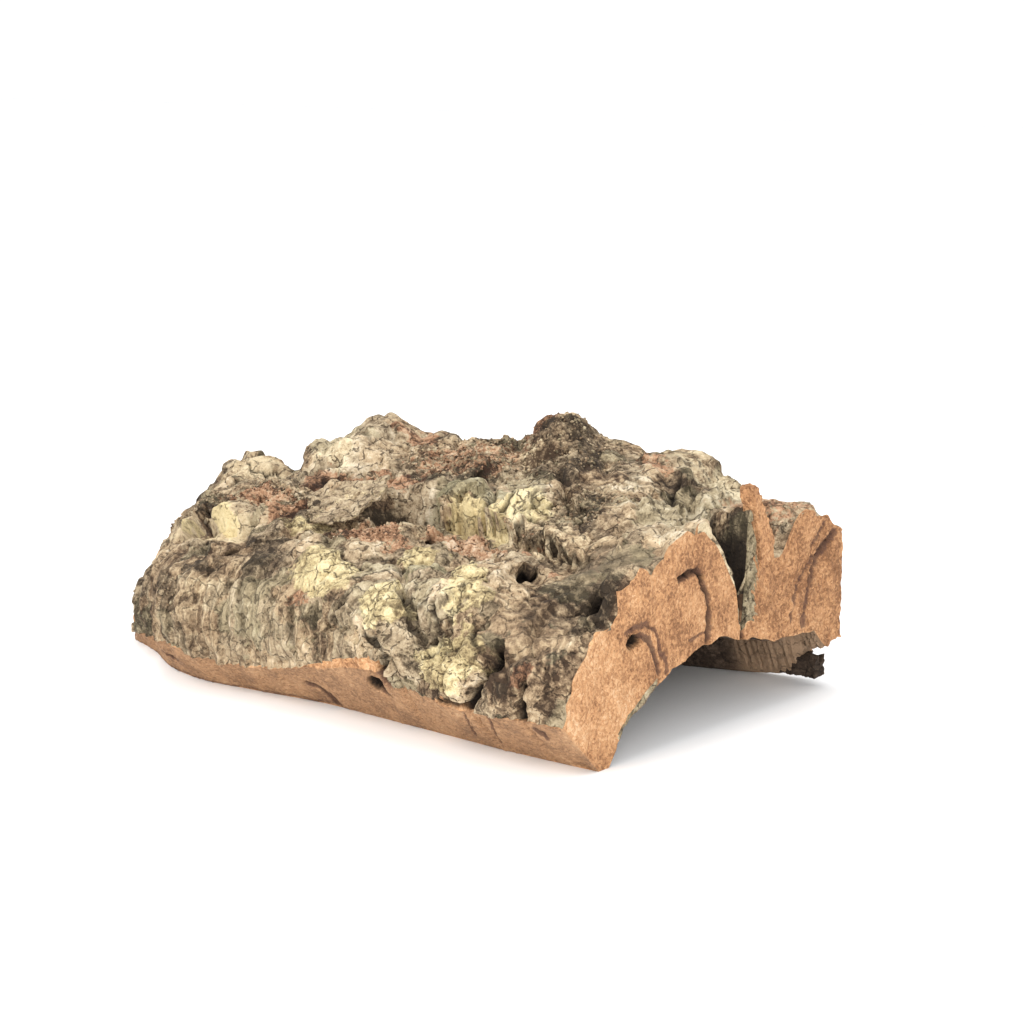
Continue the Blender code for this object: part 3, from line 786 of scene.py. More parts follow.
    # Share of a flake's size that the crack at its border takes up
    flake_border: float = 0.075
    ledge_size: float = 17.0
    ledge_height: float = 0.55
    ledge_levels: float = 2.6
    # Share of each level at which a ledge starts and ends
    ledge_rise: tuple[float, float] = (0.42, 0.52)
    # Middles of the wavy ridges below and above the divide, as (a, b)
    wave_low: tuple[float, float] = (196.0, 4.0)
    wave_high: tuple[float, float] = (202.0, -20.0)
    wave_divide: float = 60.0
    wave_wander: float = 2.2
    wave_pitch: float = 4.6
    wave_height: float = 0.2
    rib_pitch: float = 3.1
    rib_height: float = 0.38
    # Where the relief fades towards the sawn back, and how much of it goes
    back_fade: tuple[float, float] = (120.0, 127.0)
    back_calm: float = 0.75

    def warp(self, points: Array) -> tuple[Array, Array]:
        """Give the wander, along and across, that breaks up the edges of the patches."""
        along = fractal(points, self.warp_size, 4, 0.6)
        across = fractal(points, self.warp_size, 4, 0.6, 31.0)
        return along * self.warp_reach, across * self.warp_reach

    def spread(self, kind: Cover | Grain, a: Array, b: Array) -> Array:
        """Give the strongest mask of all patches of one kind."""
        total = np.zeros_like(a)
        for patch in self.patches:
            if patch.kind is kind:
                total = np.maximum(total, patch.strength * patch.mask(a, b))
        return total

    def hollows(self, a: Array, b: Array, cleft: Array) -> tuple[Array, Array]:
        """Give the depth of holes and cracks, and a mask of the near-black painted shade in them.

        Args:
            a: places along the slab.
            b: places over the bark.
            cleft: how deep the form's own fissures are there.
        """
        depth = np.zeros_like(a)
        inside = smooth_step(1.6, 4.2, cleft)
        for hole in self.holes:
            away = np.sqrt(((a - hole.a) / hole.half_a) ** 2 + ((b - hole.b) / hole.half_b) ** 2)
            depth = np.maximum(depth, hole.depth * smooth_step(1.15, 0.45, away))
            inside = np.maximum(inside, smooth_step(1.05, 0.75, away))
        for groove in self.grooves:
            away = line_distance(a, b, groove.points)
            depth = np.maximum(depth, groove.depth * smooth_step(groove.half_width * 1.3, 0.0, away))
            core = smooth_step(groove.half_width * 1.1, groove.half_width * 0.5, away)
            inside = np.maximum(inside, groove.shade_share * core)
        return depth, inside

    def grit(self, points: Array) -> Array:
        """Give rounded granules, about 0 on average."""
        places = points / self.grit_size
        near = np.array([noise.voronoi(Vector(place))[0][0] for place in places])
        return 0.45 - near

    def relief(self, points: Array, a: Array, b: Array, cleft: Array
               ) -> tuple[Array, dict[Enum, Array], Array]:
        """Work out the fine relief and the covers of points on the bark.

        Args:
            points: the points in mm.
            a: their places along the slab.
            b: their places over the bark.
            cleft: how deep the form's own fissures are there.

        Returns:
            Heights in mm, a mask for each cover, grain and shift, and a mask of painted shade in holes,
            cracks and low places.
        """
        warp_a, warp_b = self.warp(points)
        wa, wb = a + warp_a, b + warp_b
        masks: dict[Enum, Array] = {kind: self.spread(kind, wa, wb) for kind in (*Cover, *Grain)}
        crumb, flank = masks[Grain.CRUMB], masks[Grain.RIBS]
        # Full relief where it is 1, smooth bark where it is 0
        lively = (1 - masks[Grain.SMOOTH]) * (1 - 0.55 * flank)
        partly = 0.3 + 0.7 * lively
        crumbs = fractal(points, self.crumb_size, 3, 0.7, 7.0)
        heights = crumbs * self.crumb_height * (0.15 + crumb) * partly
        heights += self.grit(points) * self.grit_height * (0.1 + crumb) * lively
        fine = fractal(points, self.fine_size, 2, 0.6, 3.0)
        heights += fine * self.fine_height * (0.3 + crumb) * partly
        bent = points + np.stack([warp_b, warp_a, warp_b], axis=1) * 0.5
        border, luck = plates(bent, self.flake_size)
        share = (0.55 + 0.6 * masks[Grain.CRACKED]) * lively
        cracks = smooth_step(self.flake_border, 0.0, border) * share
        heights += (luck - 0.5) * self.flake_height * share - cracks * self.flake_crack
        level = fractal(points * (1.0, 1.0, 1.6), self.ledge_size, 3, 0.8, 41.0) * self.ledge_levels
        rest = level - np.floor(level)
        ledges = np.floor(level) + smooth_step(*self.ledge_rise, rest)
        heights += ledges * self.ledge_height * (0.25 + 0.75 * lively)
        # Painted shade at the foot of each ledge, just below its step
        under = smooth_step(0.2, 0.4, rest) * smooth_step(0.52, 0.46, rest) * lively
        wander = fractal(points, 9.0, 2, 0.8, 13.0) * self.wave_wander
        low, high = (np.hypot(a - at_a, b - at_b) for at_a, at_b in (self.wave_low, self.wave_high))
        around = np.where(b < self.wave_divide, low, high)
        waves = np.cos((around + wander) * 2 * np.pi / self.wave_pitch) * masks[Grain.WAVES]
        heights += waves * self.wave_height * lively
        ribs = np.cos((points[:, 0] + wander) * 2 * np.pi / self.rib_pitch) * masks[Grain.RIBS]
        heights += ribs * self.rib_height
        masks[Shift.CALM] = 1 - lively * (1 - 0.3 * masks[Grain.WAVES])
        for patch in self.patches:
            if patch.rise:
                heights += patch.rise * smooth_step(0.35, 0.55, patch.mask(wa, wb))
        depth, inside = self.hollows(
            a + self.groove_warp * warp_a, b + self.groove_warp * warp_b, cleft)
        # Near-black painted shade: inside holes, grooves and deep fissures, in the flakes' border cracks, and
        # in the lowest places of the relief
        painted_shade = np.maximum(inside, 0.7 * smooth_step(0.3, 1.0, cracks))
        painted_shade = np.maximum(painted_shade, 0.6 * smooth_step(-1.0, -2.2, heights))
        # The tone is lowered by painted shade at the feet of the ledges
        tone = (luck - 0.5) * 0.11 * partly - 0.07 * under
        tone += fractal(points, 16.0, 2, 0.8, 57.0) * 0.04
        masks[Shift.TONE], masks[Shift.WARM] = tone + 0.5, np.modf(luck * 7.0)[0]
        fade = 1 - self.back_calm * smooth_step(*self.back_fade, b)
        return (heights - depth) * fade, masks, painted_shade


@dataclass
class SawnFaces:
    """The granular sawn faces and what shows in them."""

    # In the right end, as (y, z)
    end_lines: tuple[Groove, ...] = (
        Groove(((-98.7, 32.8), (-95.8, 33.3), (-90.7, 33.1), (-87.3, 30.7), (-85.1, 27.0), (-83.3, 23.3),
                (-81.5, 19.3)), 0.5, 0.6),
        Groove(((-93.6, 30.9), (-90.2, 29.2), (-87.2, 24.8), (-85.4, 20.1)), 0.6, 0.7, 0.35),
        Groove(((-76.7, 42.4), (-73.3, 43.1), (-69.7, 42.8), (-67.0, 40.5), (-64.7, 37.5), (-63.3, 33.3),
                (-63.2, 28.9), (-64.0, 24.0)), 0.75, 1.8, 0.8),
        Groove(((-72.0, 25.3), (-67.6, 26.3), (-64.9, 26.6)), 0.3, 0.6),
        Groove(((-4.4, 42.9), (-7.3, 41.1), (-12.2, 38.1), (-14.6, 34.9), (-16.4, 30.5)), 0.9, 1.6, 0.45),
        Groove(((-14.6, 34.9), (-16.4, 30.5), (-17.7, 25.3), (-19.0, 20.0)), 0.6, 0.9, 0.1),
        Groove(((-15.2, 38.3), (-19.1, 35.1), (-21.9, 31.5), (-23.7, 27.7), (-25.0, 21.9)), 0.4, 0.9, 0.1),
        Groove(((-8.6, 46.6), (-11.5, 43.7), (-15.3, 41.0)), 0.4, 0.8),
        Groove(((-48.4, 42.0), (-48.2, 30.0), (-47.9, 20.0)), 0.6, 2.6, 0.9),
    )
    # In the front band, as (x, z)
    band_lines: tuple[Groove, ...] = (
        Groove(((9.8, 7.5), (12.7, 6.0), (13.4, 3.4), (14.3, 0.8)), 0.55, 0.9, 0.5),
        Groove(((14.0, 5.6), (15.0, 3.6), (15.9, 1.1)), 0.5, 0.8, 0.5),
        Groove(((76.7, 15.0), (80.3, 11.7), (75.7, 2.9)), 0.3, 0.5),
        Groove(((72.2, 12.6), (67.9, 3.1)), 0.3, 0.5),
        Groove(((94.5, 11.6), (96.0, 9.4)), 0.6, 0.7, 0.4),
        Groove(((39.6, 12.0), (41.2, 9.9)), 0.7, 1.4, 1.0),
        Groove(((44.6, 19.5), (43.6, 15.0)), 1.5, 3.0, 1.0),
        Groove(((-52.0, 7.0), (-48.0, 6.0), (-42.2, 4.7)), 0.4, 0.7, 0.4),
    )
    # Hole in the right end: y, z, half sizes, depth
    end_pits: Rows = (
        (-96.1, 29.6, 3.0, 1.9, 4.0), (-74.0, 42.9, 2.2, 0.9, 1.4), (-67.0, 40.9, 1.4, 1.0, 1.2))
    # Hole in the front band: x, z, half sizes, depth
    band_pits: Rows = ((38.6, 12.8, 2.5, 2.0, 3.8),)
    # How far the bark reaches down over the band: place a, share of the band
    band_drop: Rows = (
        (153.6, 0.0), (154.0, 0.26), (160.0, 0.2), (168.0, 0.09), (178.0, 0.0))
    # Top of the sawn band where it reaches up over the bark: place a, height b
    band_top: Rows = (
        (112.0, 0.0), (122.0, 1.4), (130.0, 2.4), (137.0, 2.6), (144.0, 3.4), (151.6, 4.4), (152.0, 0.0),
        (177.0, 0.0), (180.0, 1.8), (190.0, 1.4), (193.0, 0.0))
    grain_height: float = 0.30
    tear_height: float = 0.45
    ridge_pitch: float = 2.7
    ridge_height: float = 0.3

    def marks(self, first: Array, second: Array, lines: Sequence[Groove], pits: Rows
              ) -> tuple[Array, Array, Array]:
        """Work out growth lines and holes of one sawn face.

        Args:
            first: the points' first coordinates in the face.
            second: their second coordinates.
            lines: the growth lines.
            pits: the holes, as rows of place, half sizes and depth.

        Returns:
            Heights in mm, a mask of the growth lines, and a mask of near-black painted shade in the holes and
            the darkest lines.
        """
        heights, growth, painted_shade = (np.zeros(len(first)) for _ in range(3))
        # The darkest part of each line and the inside of each hole get near-black painted shade
        for line in lines:
            away = line_distance(first, second, line.points)
            heights -= line.depth * smooth_step(line.half_width * 1.8, 0.0, away)
            growth = np.maximum(growth, smooth_step(line.half_width * 2.6, line.half_width * 0.4, away))
            painted_shade = np.maximum(painted_shade, line.shade_share * smooth_step(line.half_width * 1.6, 0.0, away))
        for at_first, at_second, half_first, half_second, depth in pits:
            away = np.hypot((first - at_first) / half_first, (second - at_second) / half_second)
            heights -= depth * smooth_step(1.15, 0.3, away)
            painted_shade = np.maximum(painted_shade, smooth_step(1.1, 0.8, away))
        return heights, growth, painted_shade

    def right_end(self, points: Array) -> tuple[Array, Array, Array]:
        """Work out the marks in the right end, and the torn ridges of its rear half."""
        wander = fractal(points, 6.0, 3, 0.7, 5.0)
        y, z = points[:, 1] + wander * 0.7, points[:, 2] + wander * 0.7
        heights, growth, painted_shade = self.marks(y, z, self.end_lines, self.end_pits)
        torn = smooth_step(-50.0, -44.0, points[:, 1])
        torn *= smooth_step(0.0, -3.5, points[:, 1])
        heights += np.cos((y + 3.0 * wander) * 2 * np.pi / self.ridge_pitch) * self.ridge_height * torn
        return heights, growth, painted_shade

    def front_band(self, points: Array) -> tuple[Array, Array, Array]:
        """Work out the marks in the front band."""
        wander = fractal(points, 6.0, 3, 0.7, 5.0) * 0.7
        return self.marks(points[:, 0] + wander, points[:, 2] + wander, self.band_lines, self.band_pits)

    def grain(self, points: Array) -> Array:
        """Give the height of the granular, slightly torn surface."""
        heights = fractal(points, 1.8, 2, 0.6, 19.0) * self.grain_height
        return heights + fractal(points, 7.5, 2, 0.8, 23.0) * self.tear_height


@dataclass
class Slab:
    """The whole slab as one finely cut block."""

    form: BarkForm = field(default_factory=BarkForm)
    skin: BarkSkin = field(default_factory=BarkSkin)
    sawn: SawnFaces = field(default_factory=SawnFaces)
    cells: tuple[tuple[int, ...], ...] = ((15, 22), (8, 23), (6, 8))
    quick_cells: tuple[tuple[int, ...], ...] = ((10, 16), (90,), (20,))
    hidden_kept: float = 0.13
    belly_height: float = 0.7
    fibre_pitch: float = 1.9
    fibre_height: float = 0.45
    # Bark that shows in the right end: beside the strip and at the foot as y, under the top as b
    weathered_y: tuple[float, float] = (-47.8, -42.6)
    foot_y: tuple[float, float] = (-102.0, -86.0)
    rim_b: tuple[float, float] = (76.0, 95.0)
    # The crumbs' places: points, normals, how crumbling each is, and its covers
    sites: tuple[Array, Array, Array, dict[Cover, Array]] | None = field(default=None, init=False)

    def build(self) -> bpy.types.Object:
        """Shape the block: underside, sawn sides and bark, then thin out the hidden sides.

        Returns:
            The slab's mesh object, with its masks.
        """
        cells = self.cells
        slab = divided_cube("cork_slab", cells)
        shares = read_points(slab) + 0.5
        counts = [math.prod(each) for each in cells]
        columns = np.rint(shares[:, :2] * counts[:2]).astype(int)
        row = columns[:, 0] * (counts[1] + 1) + columns[:, 1]
        s, t = (each.ravel() for each in np.meshgrid(
            np.linspace(0, 1, counts[0] + 1), np.linspace(0, 1, counts[1] + 1), indexing="ij"))
        t = self.form.gathered(s, t)
        bark = self.form.bark_surface(s, t)
        belly = self.form.belly_form(s, t)
        points = belly[row] + (bark[row] - belly[row]) * shares[:, 2:]
        write_points(slab, points)
        a, b = (s * self.form.length)[row], (t * self.form.girth)[row]
        self.dress(slab, points, shares, a, b)
        self.thin_hidden(slab, shares)
        return slab

    def dress(self, slab: bpy.types.Object, points: Array, shares: Array, a: Array, b: Array) -> None:
        """Add the fine relief and store the masks.

        Args:
            slab: the slab's mesh object.
            points: its points in mm.
            shares: their shares along, across and through the slab.
            a: their places along the slab.
            b: their places over the bark.
        """
        s, t, w = shares.T
        on_bark, on_belly = w > 1 - ON_FACE, w < ON_FACE
        sawn = ~on_bark & ~on_belly
        right, band, back = sawn & (s > 1 - ON_FACE), sawn & (t < ON_FACE), sawn & (t > 1 - ON_FACE)
        heights, painted_shade, growth, crumb, tone, warm, waves, ribs, calm = (
            np.zeros(len(points)) for _ in range(9))
        covers = {kind: np.zeros(len(points)) for kind in Cover}
        cleft = -self.form.fissures(a, b)
        heights[on_bark], found, painted_shade[on_bark] = self.skin.relief(
            points[on_bark], a[on_bark], b[on_bark], cleft[on_bark])
        tone[on_bark], warm[on_bark] = found[Shift.TONE] - 0.5, found[Shift.WARM]
        waves[on_bark], ribs[on_bark] = found[Grain.WAVES] * (1 - found[Grain.SMOOTH]), found[Grain.RIBS]
        calm[on_bark] = found[Shift.CALM]
        for kind in Cover:
            covers[kind][on_bark] = found[kind]
        crumb[on_bark] = found[Grain.CRUMB] * (1 - found[Grain.SMOOTH])
        # Painted shade deep in the furrow, nearly black
        cleft = smooth_step(3.0, 9.0, self.form.furrow_depth(a, b)) * on_bark
        painted_shade = np.maximum(painted_shade, 0.96 * cleft)
        heights[sawn] = self.sawn.grain(points[sawn])
        rim = right & (b > 72.0) & (b < 96.0) & (w > 0.88)
        covers[Cover.PALE][rim] = covers[Cover.CREAM][rim] = 1.0
        for face, marks in ((right, self.sawn.right_end), (band, self.sawn.front_band)):
            cut, growth[face], painted_shade[face] = marks(points[face])
            heights[face] += cut
        # The lowest part of the band's left half is made darker with the growth lines' colour
        skirt = smooth_step(0.16, 0.06, w) * smooth_step(140.0, 110.0, a) * band
        growth = np.maximum(growth, 0.55 * skirt)
        fibre = smooth_step(84.0, 90.0, points[:, 0]) * smooth_step(-16.0, -12.0, points[:, 1])
        fibre = fibre * on_belly
        under = points[on_belly]
        rough = fractal(under, 6.0, 3, 0.7, 2.0) * self.belly_height
        strands = np.cos(under[:, 0] * 2 * np.pi / self.fibre_pitch + 3 * rough)
        rough += strands * self.fibre_height * fibre[on_belly]
        heights[on_belly] = rough * smooth_step(0.5, 6.0, under[:, 2])
        normals = read_normals(slab)
        points = points + normals * heights[:, None]
        points[:, 2] = np.maximum(points[:, 2], 0.0)
        points[back, 1] = np.minimum(points[back, 1], 0.25)
        write_points(slab, (points + SHIFT) * MM)
        self.sites = points[on_bark], normals[on_bark], crumb[on_bark] * (1 - cleft[on_bark]), {
            kind: mask[on_bark] for kind, mask in covers.items()}
        y = points[:, 1]
        greyer = right * (0.5 * smooth_step(-104.0, -84.0, y) + 0.5 * smooth_step(-56.0, -40.0, y))
        write_masks(slab, list(covers.values()), (growth, on_belly, painted_shade), (band, greyer, fibre),
                    (tone + 0.5, warm, calm), (a / 100, b / 100, 0.0), (waves, ribs, 0.0))
        write_mask(slab, "shares", [s, t, w])

    def thin_hidden(self, slab: bpy.types.Object, shares: Array) -> None:
        """Thin out the underside, the back and the left end, and mark the sawn faces."""
        s, t, w = shares.T
        inside = (s > 0) & (s < 1) & (t > 0) & (t < 1)
        hidden = (w < ON_FACE) & inside
        hidden |= (w > 0) & (w < 1) & ((t > 1 - ON_FACE) | (s < ON_FACE)) & (s < 1 - ON_FACE)
        group = slab.vertex_groups.new(name="hidden")
        group.add(np.flatnonzero(hidden).tolist(), 1.0, "REPLACE")
        bpy.context.view_layer.objects.active = slab
        thin = slab.modifiers.new("Thin hidden sides", "DECIMATE")
        thin.vertex_group = group.name
        thin.ratio = 1 - hidden.mean() * (1 - self.hidden_kept)
        bpy.ops.object.modifier_apply(modifier=thin.name)
        slab.vertex_groups.clear()
        self.mark_sawn(slab)
        slab.data.attributes.remove(slab.data.attributes["shares"])
        shade(slab, 42.0)

    def mark_sawn(self, slab: bpy.types.Object) -> None:
        """Tell the sawn faces from bark by where they lie on the block."""
        mesh = slab.data
        rows = np.empty(len(mesh.vertices) * 4, np.float32)
        mesh.attributes["shares"].data.foreach_get("color", rows)
        rows = rows.reshape(-1, 4)
        rows[:, 3] = read_points(slab)[:, 1] / MM - SHIFT[1]
        loops = np.empty(len(mesh.loops), np.int32)
        mesh.loops.foreach_get("vertex_index", loops)
        starts = np.empty(len(mesh.polygons), np.int32)
        mesh.polygons.foreach_get("loop_start", starts)
        counts = np.diff(np.append(starts, len(loops)))
        s, t, w, y = (np.add.reduceat(rows[loops], starts) / counts[:, None]).T
        a, b = s * self.form.length, t * self.form.girth
        top = np.array(self.sawn.band_top)
        sawn = (w < 0.9995) | (b < np.interp(a, top[:, 0], top[:, 1], left=0.0, right=0.0))
        sawn &= w > 0.0005
        right, drop = s > 0.9995, np.array(self.sawn.band_drop)
        rag = 0.8 * np.sin(w * 61.0) + 0.5 * np.sin(w * 23.0 + 1.0)
        reach = np.interp(a, drop[:, 0], drop[:, 1], left=0.0, right=0.0)
        sawn &= ~((t < 0.0005) & (w > 1.0 + 0.02 * np.sin(a * 2.9) - reach) & (reach > 0.01))
        weathered = (y > self.weathered_y[0]) & (y < self.weathered_y[1] + rag) & (w > 0.15)
        rim = (b > self.rim_b[0]) & (b < self.rim_b[1]) & (w > 0.925 + 0.012 * rag)
        foot = (y > self.foot_y[0]) & (y < self.foot_y[1]) & (w < 0.06 + 0.02 * rag)
        sawn &= ~(right & (weathered | rim | foot))
        write_sawn(slab, sawn)


def plain_masks(obj: bpy.types.Object, sawn: float, covers: dict[Cover, float] | None = None,
                marks: Channels = NO_MASKS, places: Channels = NO_MASKS) -> None:
    """Store one value of each mask for a whole piece.

    Args:
        obj: the mesh object.
        sawn: 1 for sawn cork, 0 for bark.
        covers: how strongly each cover lies on it.
        marks: growth lines, underside, and near-black painted shade in holes, cracks and recesses.
        places: front band, greyer part of the right end, and fibre.
    """
    covers = covers or {}
    write_masks(obj, [covers.get(kind, 0.0) for kind in Cover], marks, places)
    write_sawn(obj, np.full(len(obj.data.polygons), sawn))


@dataclass
class LiftedFlake:
    """The pale flake of bark that overhangs the pit, rooted at its back."""

    # Lip and root, as rows of (x, y, z) from left to right
    lip: Rows = (
        (-13.0, -75.0, 44.6), (-7.1, -75.5, 43.6), (-0.2, -74.5, 44.6),
        (4.1, -72.0, 46.6), (6.6, -68.0, 49.6))
    root: Rows = (
        (-17.1, -65.0, 49.5), (-13.7, -62.0, 51.8), (-8.5, -60.0, 52.8),
        (-3.6, -58.0, 53.2), (2.4, -55.0, 54.0))
    thickness: float = 1.1
    lift: float = 1.0
    # The way the flake faces
    outward: tuple[float, float, float] = (0.1, -0.55, 0.83)

    def build(self) -> bpy.types.Object:
        """Shape the flake from a cut cube."""
        flake = divided_cube("lifted_flake", ((44,), (36,), (3,)))
        u, v, w = (read_points(flake) + 0.5).T
        knots = np.linspace(0, 1, len(self.lip))
        lip, root = hermite(knots, self.lip, u), hermite(knots, self.root, u)
        points = lip + (root - lip) * v[:, None]
        ragged = points * (1.0, 1.0, 0.5)
        rim = smooth_step(0.3, 0.0, v) + smooth_step(0.12, 0.0, u) + smooth_step(0.88, 1.0, u)
        points[:, 0] += fractal(ragged, 4.0, 4, 0.7, 4.0) * 1.5 * rim
        points[:, 1] += fractal(ragged, 3.4, 4, 0.7, 8.0) * 1.9 * rim
        level = fractal(points, 6.0, 3, 0.7, 6.0) * 2.2
        steps = (np.floor(level) + smooth_step(0.4, 0.55, level - np.floor(level))) * 0.35
        curl = self.lift * (smooth_step(0.35, 0.0, v) * 0.6 + smooth_step(0.75, 1.0, u))
        thick = self.thickness * (1 - 0.55 * smooth_step(0.1, 0.0, v))
        away = steps + curl + fractal(points, 2.2, 2, 0.6, 2.0) * 0.22 + thick * (w - 0.5)
        points += away[:, None] * np.array(self.outward)
        write_points(flake, (points + SHIFT) * MM)
        plain_masks(flake, 0.0, {Cover.PALE: 0.25, Cover.LICHEN: 0.3})
        shade(flake, 35.0)
        return flake


@dataclass
class TornStrip:
    """The strip of sawn cork that stands torn up beside the furrow in the right end."""

    form: BarkForm
    # Its middle line from top to bottom, as (y, z), and its half width there
    line: Rows = ((-44.9, 61.4), (-42.9, 57.2), (-40.6, 51.4), (-38.8, 45.6), (-37.9, 40.2))
    half_width: tuple[float, ...] = (0.5, 1.6, 2.4, 2.9, 2.8)
    proud: float = 0.9
    depth: float = 4.0

    def build(self) -> bpy.types.Object:
        """Shape the strip from a cut cube."""
        strip = divided_cube("torn_strip", ((10,), (9,), (40,)))
        through, across, along = (read_points(strip) + 0.5).T
        along = 1 - along
        knots = np.linspace(0, 1, len(self.line))
        middle = hermite(knots, self.line, along)
        ahead = hermite(knots, self.line, np.minimum(along + 0.01, 1)) - hermite(
            knots, self.line, np.maximum(along - 0.01, 0))
        ahead /= np.linalg.norm(ahead, axis=1, keepdims=True)
        width = hermite(knots, self.half_width, along) * (across - 0.5) * 2
        y = middle[:, 0] - ahead[:, 1] * width
        z = middle[:, 1] + ahead[:, 0] * width
        x = self.form.plan_x(np.ones_like(y), y) + self.proud - self.depth * (1 - through)
        points = np.stack([x, y, z], axis=1)
        points += fractal(points, 3.0, 3, 0.7, 3.0)[:, None] * np.array([0.45, 0.45, 0.6])
        write_points(strip, (points + SHIFT) * MM)
        plain_masks(strip, 1.0, places=(0.0, 1.0, 0.0))
        shade(strip, 40.0)
        return strip


@dataclass
class FootSplinter:
    """The dark ragged splinter at the right end of the rear foot."""

    low: tuple[float, float, float] = (99.0, -7.5, 2.6)
    high: tuple[float, float, float] = (110.6, -3.0, 8.6)
    roughness: float = 1.1

    def build(self) -> bpy.types.Object:
        """Shape the splinter from a cut cube."""
        splinter = divided_cube("foot_splinter", ((20,), (10,), (14,)))
        shares = read_points(splinter) + 0.5
        low, high = np.array(self.low), np.array(self.high)
        points = low + shares * (high - low)
        tip = smooth_step(0.5, 1.0, shares[:, 0])
        points[:, 2] -= tip * 3.0 * shares[:, 2] * np.cos(shares[:, 1] * 5.0) ** 2
        points += fractal(points, 3.2, 3, 0.7, 11.0)[:, None] * np.array([1.0, 0.5, 0.8]) * self.roughness
        points[:, 2] = np.maximum(points[:, 2], 0.1)
        points[:, 1] = np.minimum(points[:, 1], 0.0)
        write_points(splinter, (points + SHIFT) * MM)
        # Underside colours darkened by painted shade, and half of the near-black painted shade
        plain_masks(splinter, 0.0, marks=(0.0, 1.0, 0.5))
        shade(splinter, 40.0)
        return splinter


@dataclass
class Crumbs:
    """Loose-looking grains of cork that stand on the crumbling places."""

    count: int = 4200
    radius: float = 0.38
    spread: float = 0.3
    squash: tuple[float, float] = (0.6, 1.35)
    # Share of a grain's radius by which its middle lies under the surface
    sunk: float = 0.05
    seed: int = 7

    def build(self, sites: tuple[Array, Array, Array, dict[Cover, Array]]) -> bpy.types.Object:
        """Model one grain and set copies of it, each squashed and turned, into the bark.

        Args:
            sites: points, normals, how crumbling each point is, and the covers there.

        Returns:
            One mesh object that holds all grains.
        """
        bpy.ops.object.select_all(action="DESELECT")
        bpy.ops.mesh.primitive_ico_sphere_add(subdivisions=1, radius=1.0)
        grain = bpy.context.active_object
        ball = read_points(grain)
        corners = np.array([face.vertices[:] for face in grain.data.polygons])
        bpy.data.objects.remove(grain)
        points, normals, crumb, covers = sites
        draw = np.random.default_rng(self.seed)
        chosen = draw.choice(len(points), self.count, replace=False, p=crumb / crumb.sum())
        radius = self.radius * np.exp(draw.normal(0.0, self.spread, self.count))
        squash = draw.uniform(*self.squash, (self.count, 3)) * radius[:, None]
        turns, _ = np.linalg.qr(draw.normal(size=(self.count, 3, 3)))
        turns *= np.linalg.det(turns)[:, None, None]
        grains = np.einsum("nij,pj->npi", turns * squash[:, None, :], ball)
        grains += (points[chosen] - normals[chosen] * radius[:, None] * self.sunk)[:, None, :]
        mesh = bpy.data.meshes.new("cork_crumbs")
        faces = (corners[None] + (np.arange(self.count) * len(ball))[:, None, None]).reshape(-1, 3)
        mesh.from_pydata(((grains.reshape(-1, 3) + SHIFT) * MM).tolist(), [], faces.tolist())
        crumbs = bpy.data.objects.new("cork_crumbs", mesh)
        bpy.context.scene.collection.objects.link(crumbs)

        def each(values: Array) -> Array:
            """Give every point of a grain the grain's value."""
            return np.repeat(values, len(ball))

        luck = draw.uniform(size=(3, self.count))
        values = {kind: each(covers[kind][chosen]) for kind in Cover}
        values[Cover.DARK] = np.clip(values[Cover.DARK] * 0.7 + each(0.8 * (luck[0] < 0.25)), 0.0, 1.0)
        values[Cover.PALE] = np.clip(values[Cover.PALE] + each(0.9 * (luck[1] < 0.3)), 0.0, 1.0)
        write_masks(crumbs, list(values.values()), shift=(0.5, each(luck[2]), 0.0))
        write_sawn(crumbs, np.zeros(len(mesh.polygons)))
        shade(crumbs, 30.0)
        return crumbs


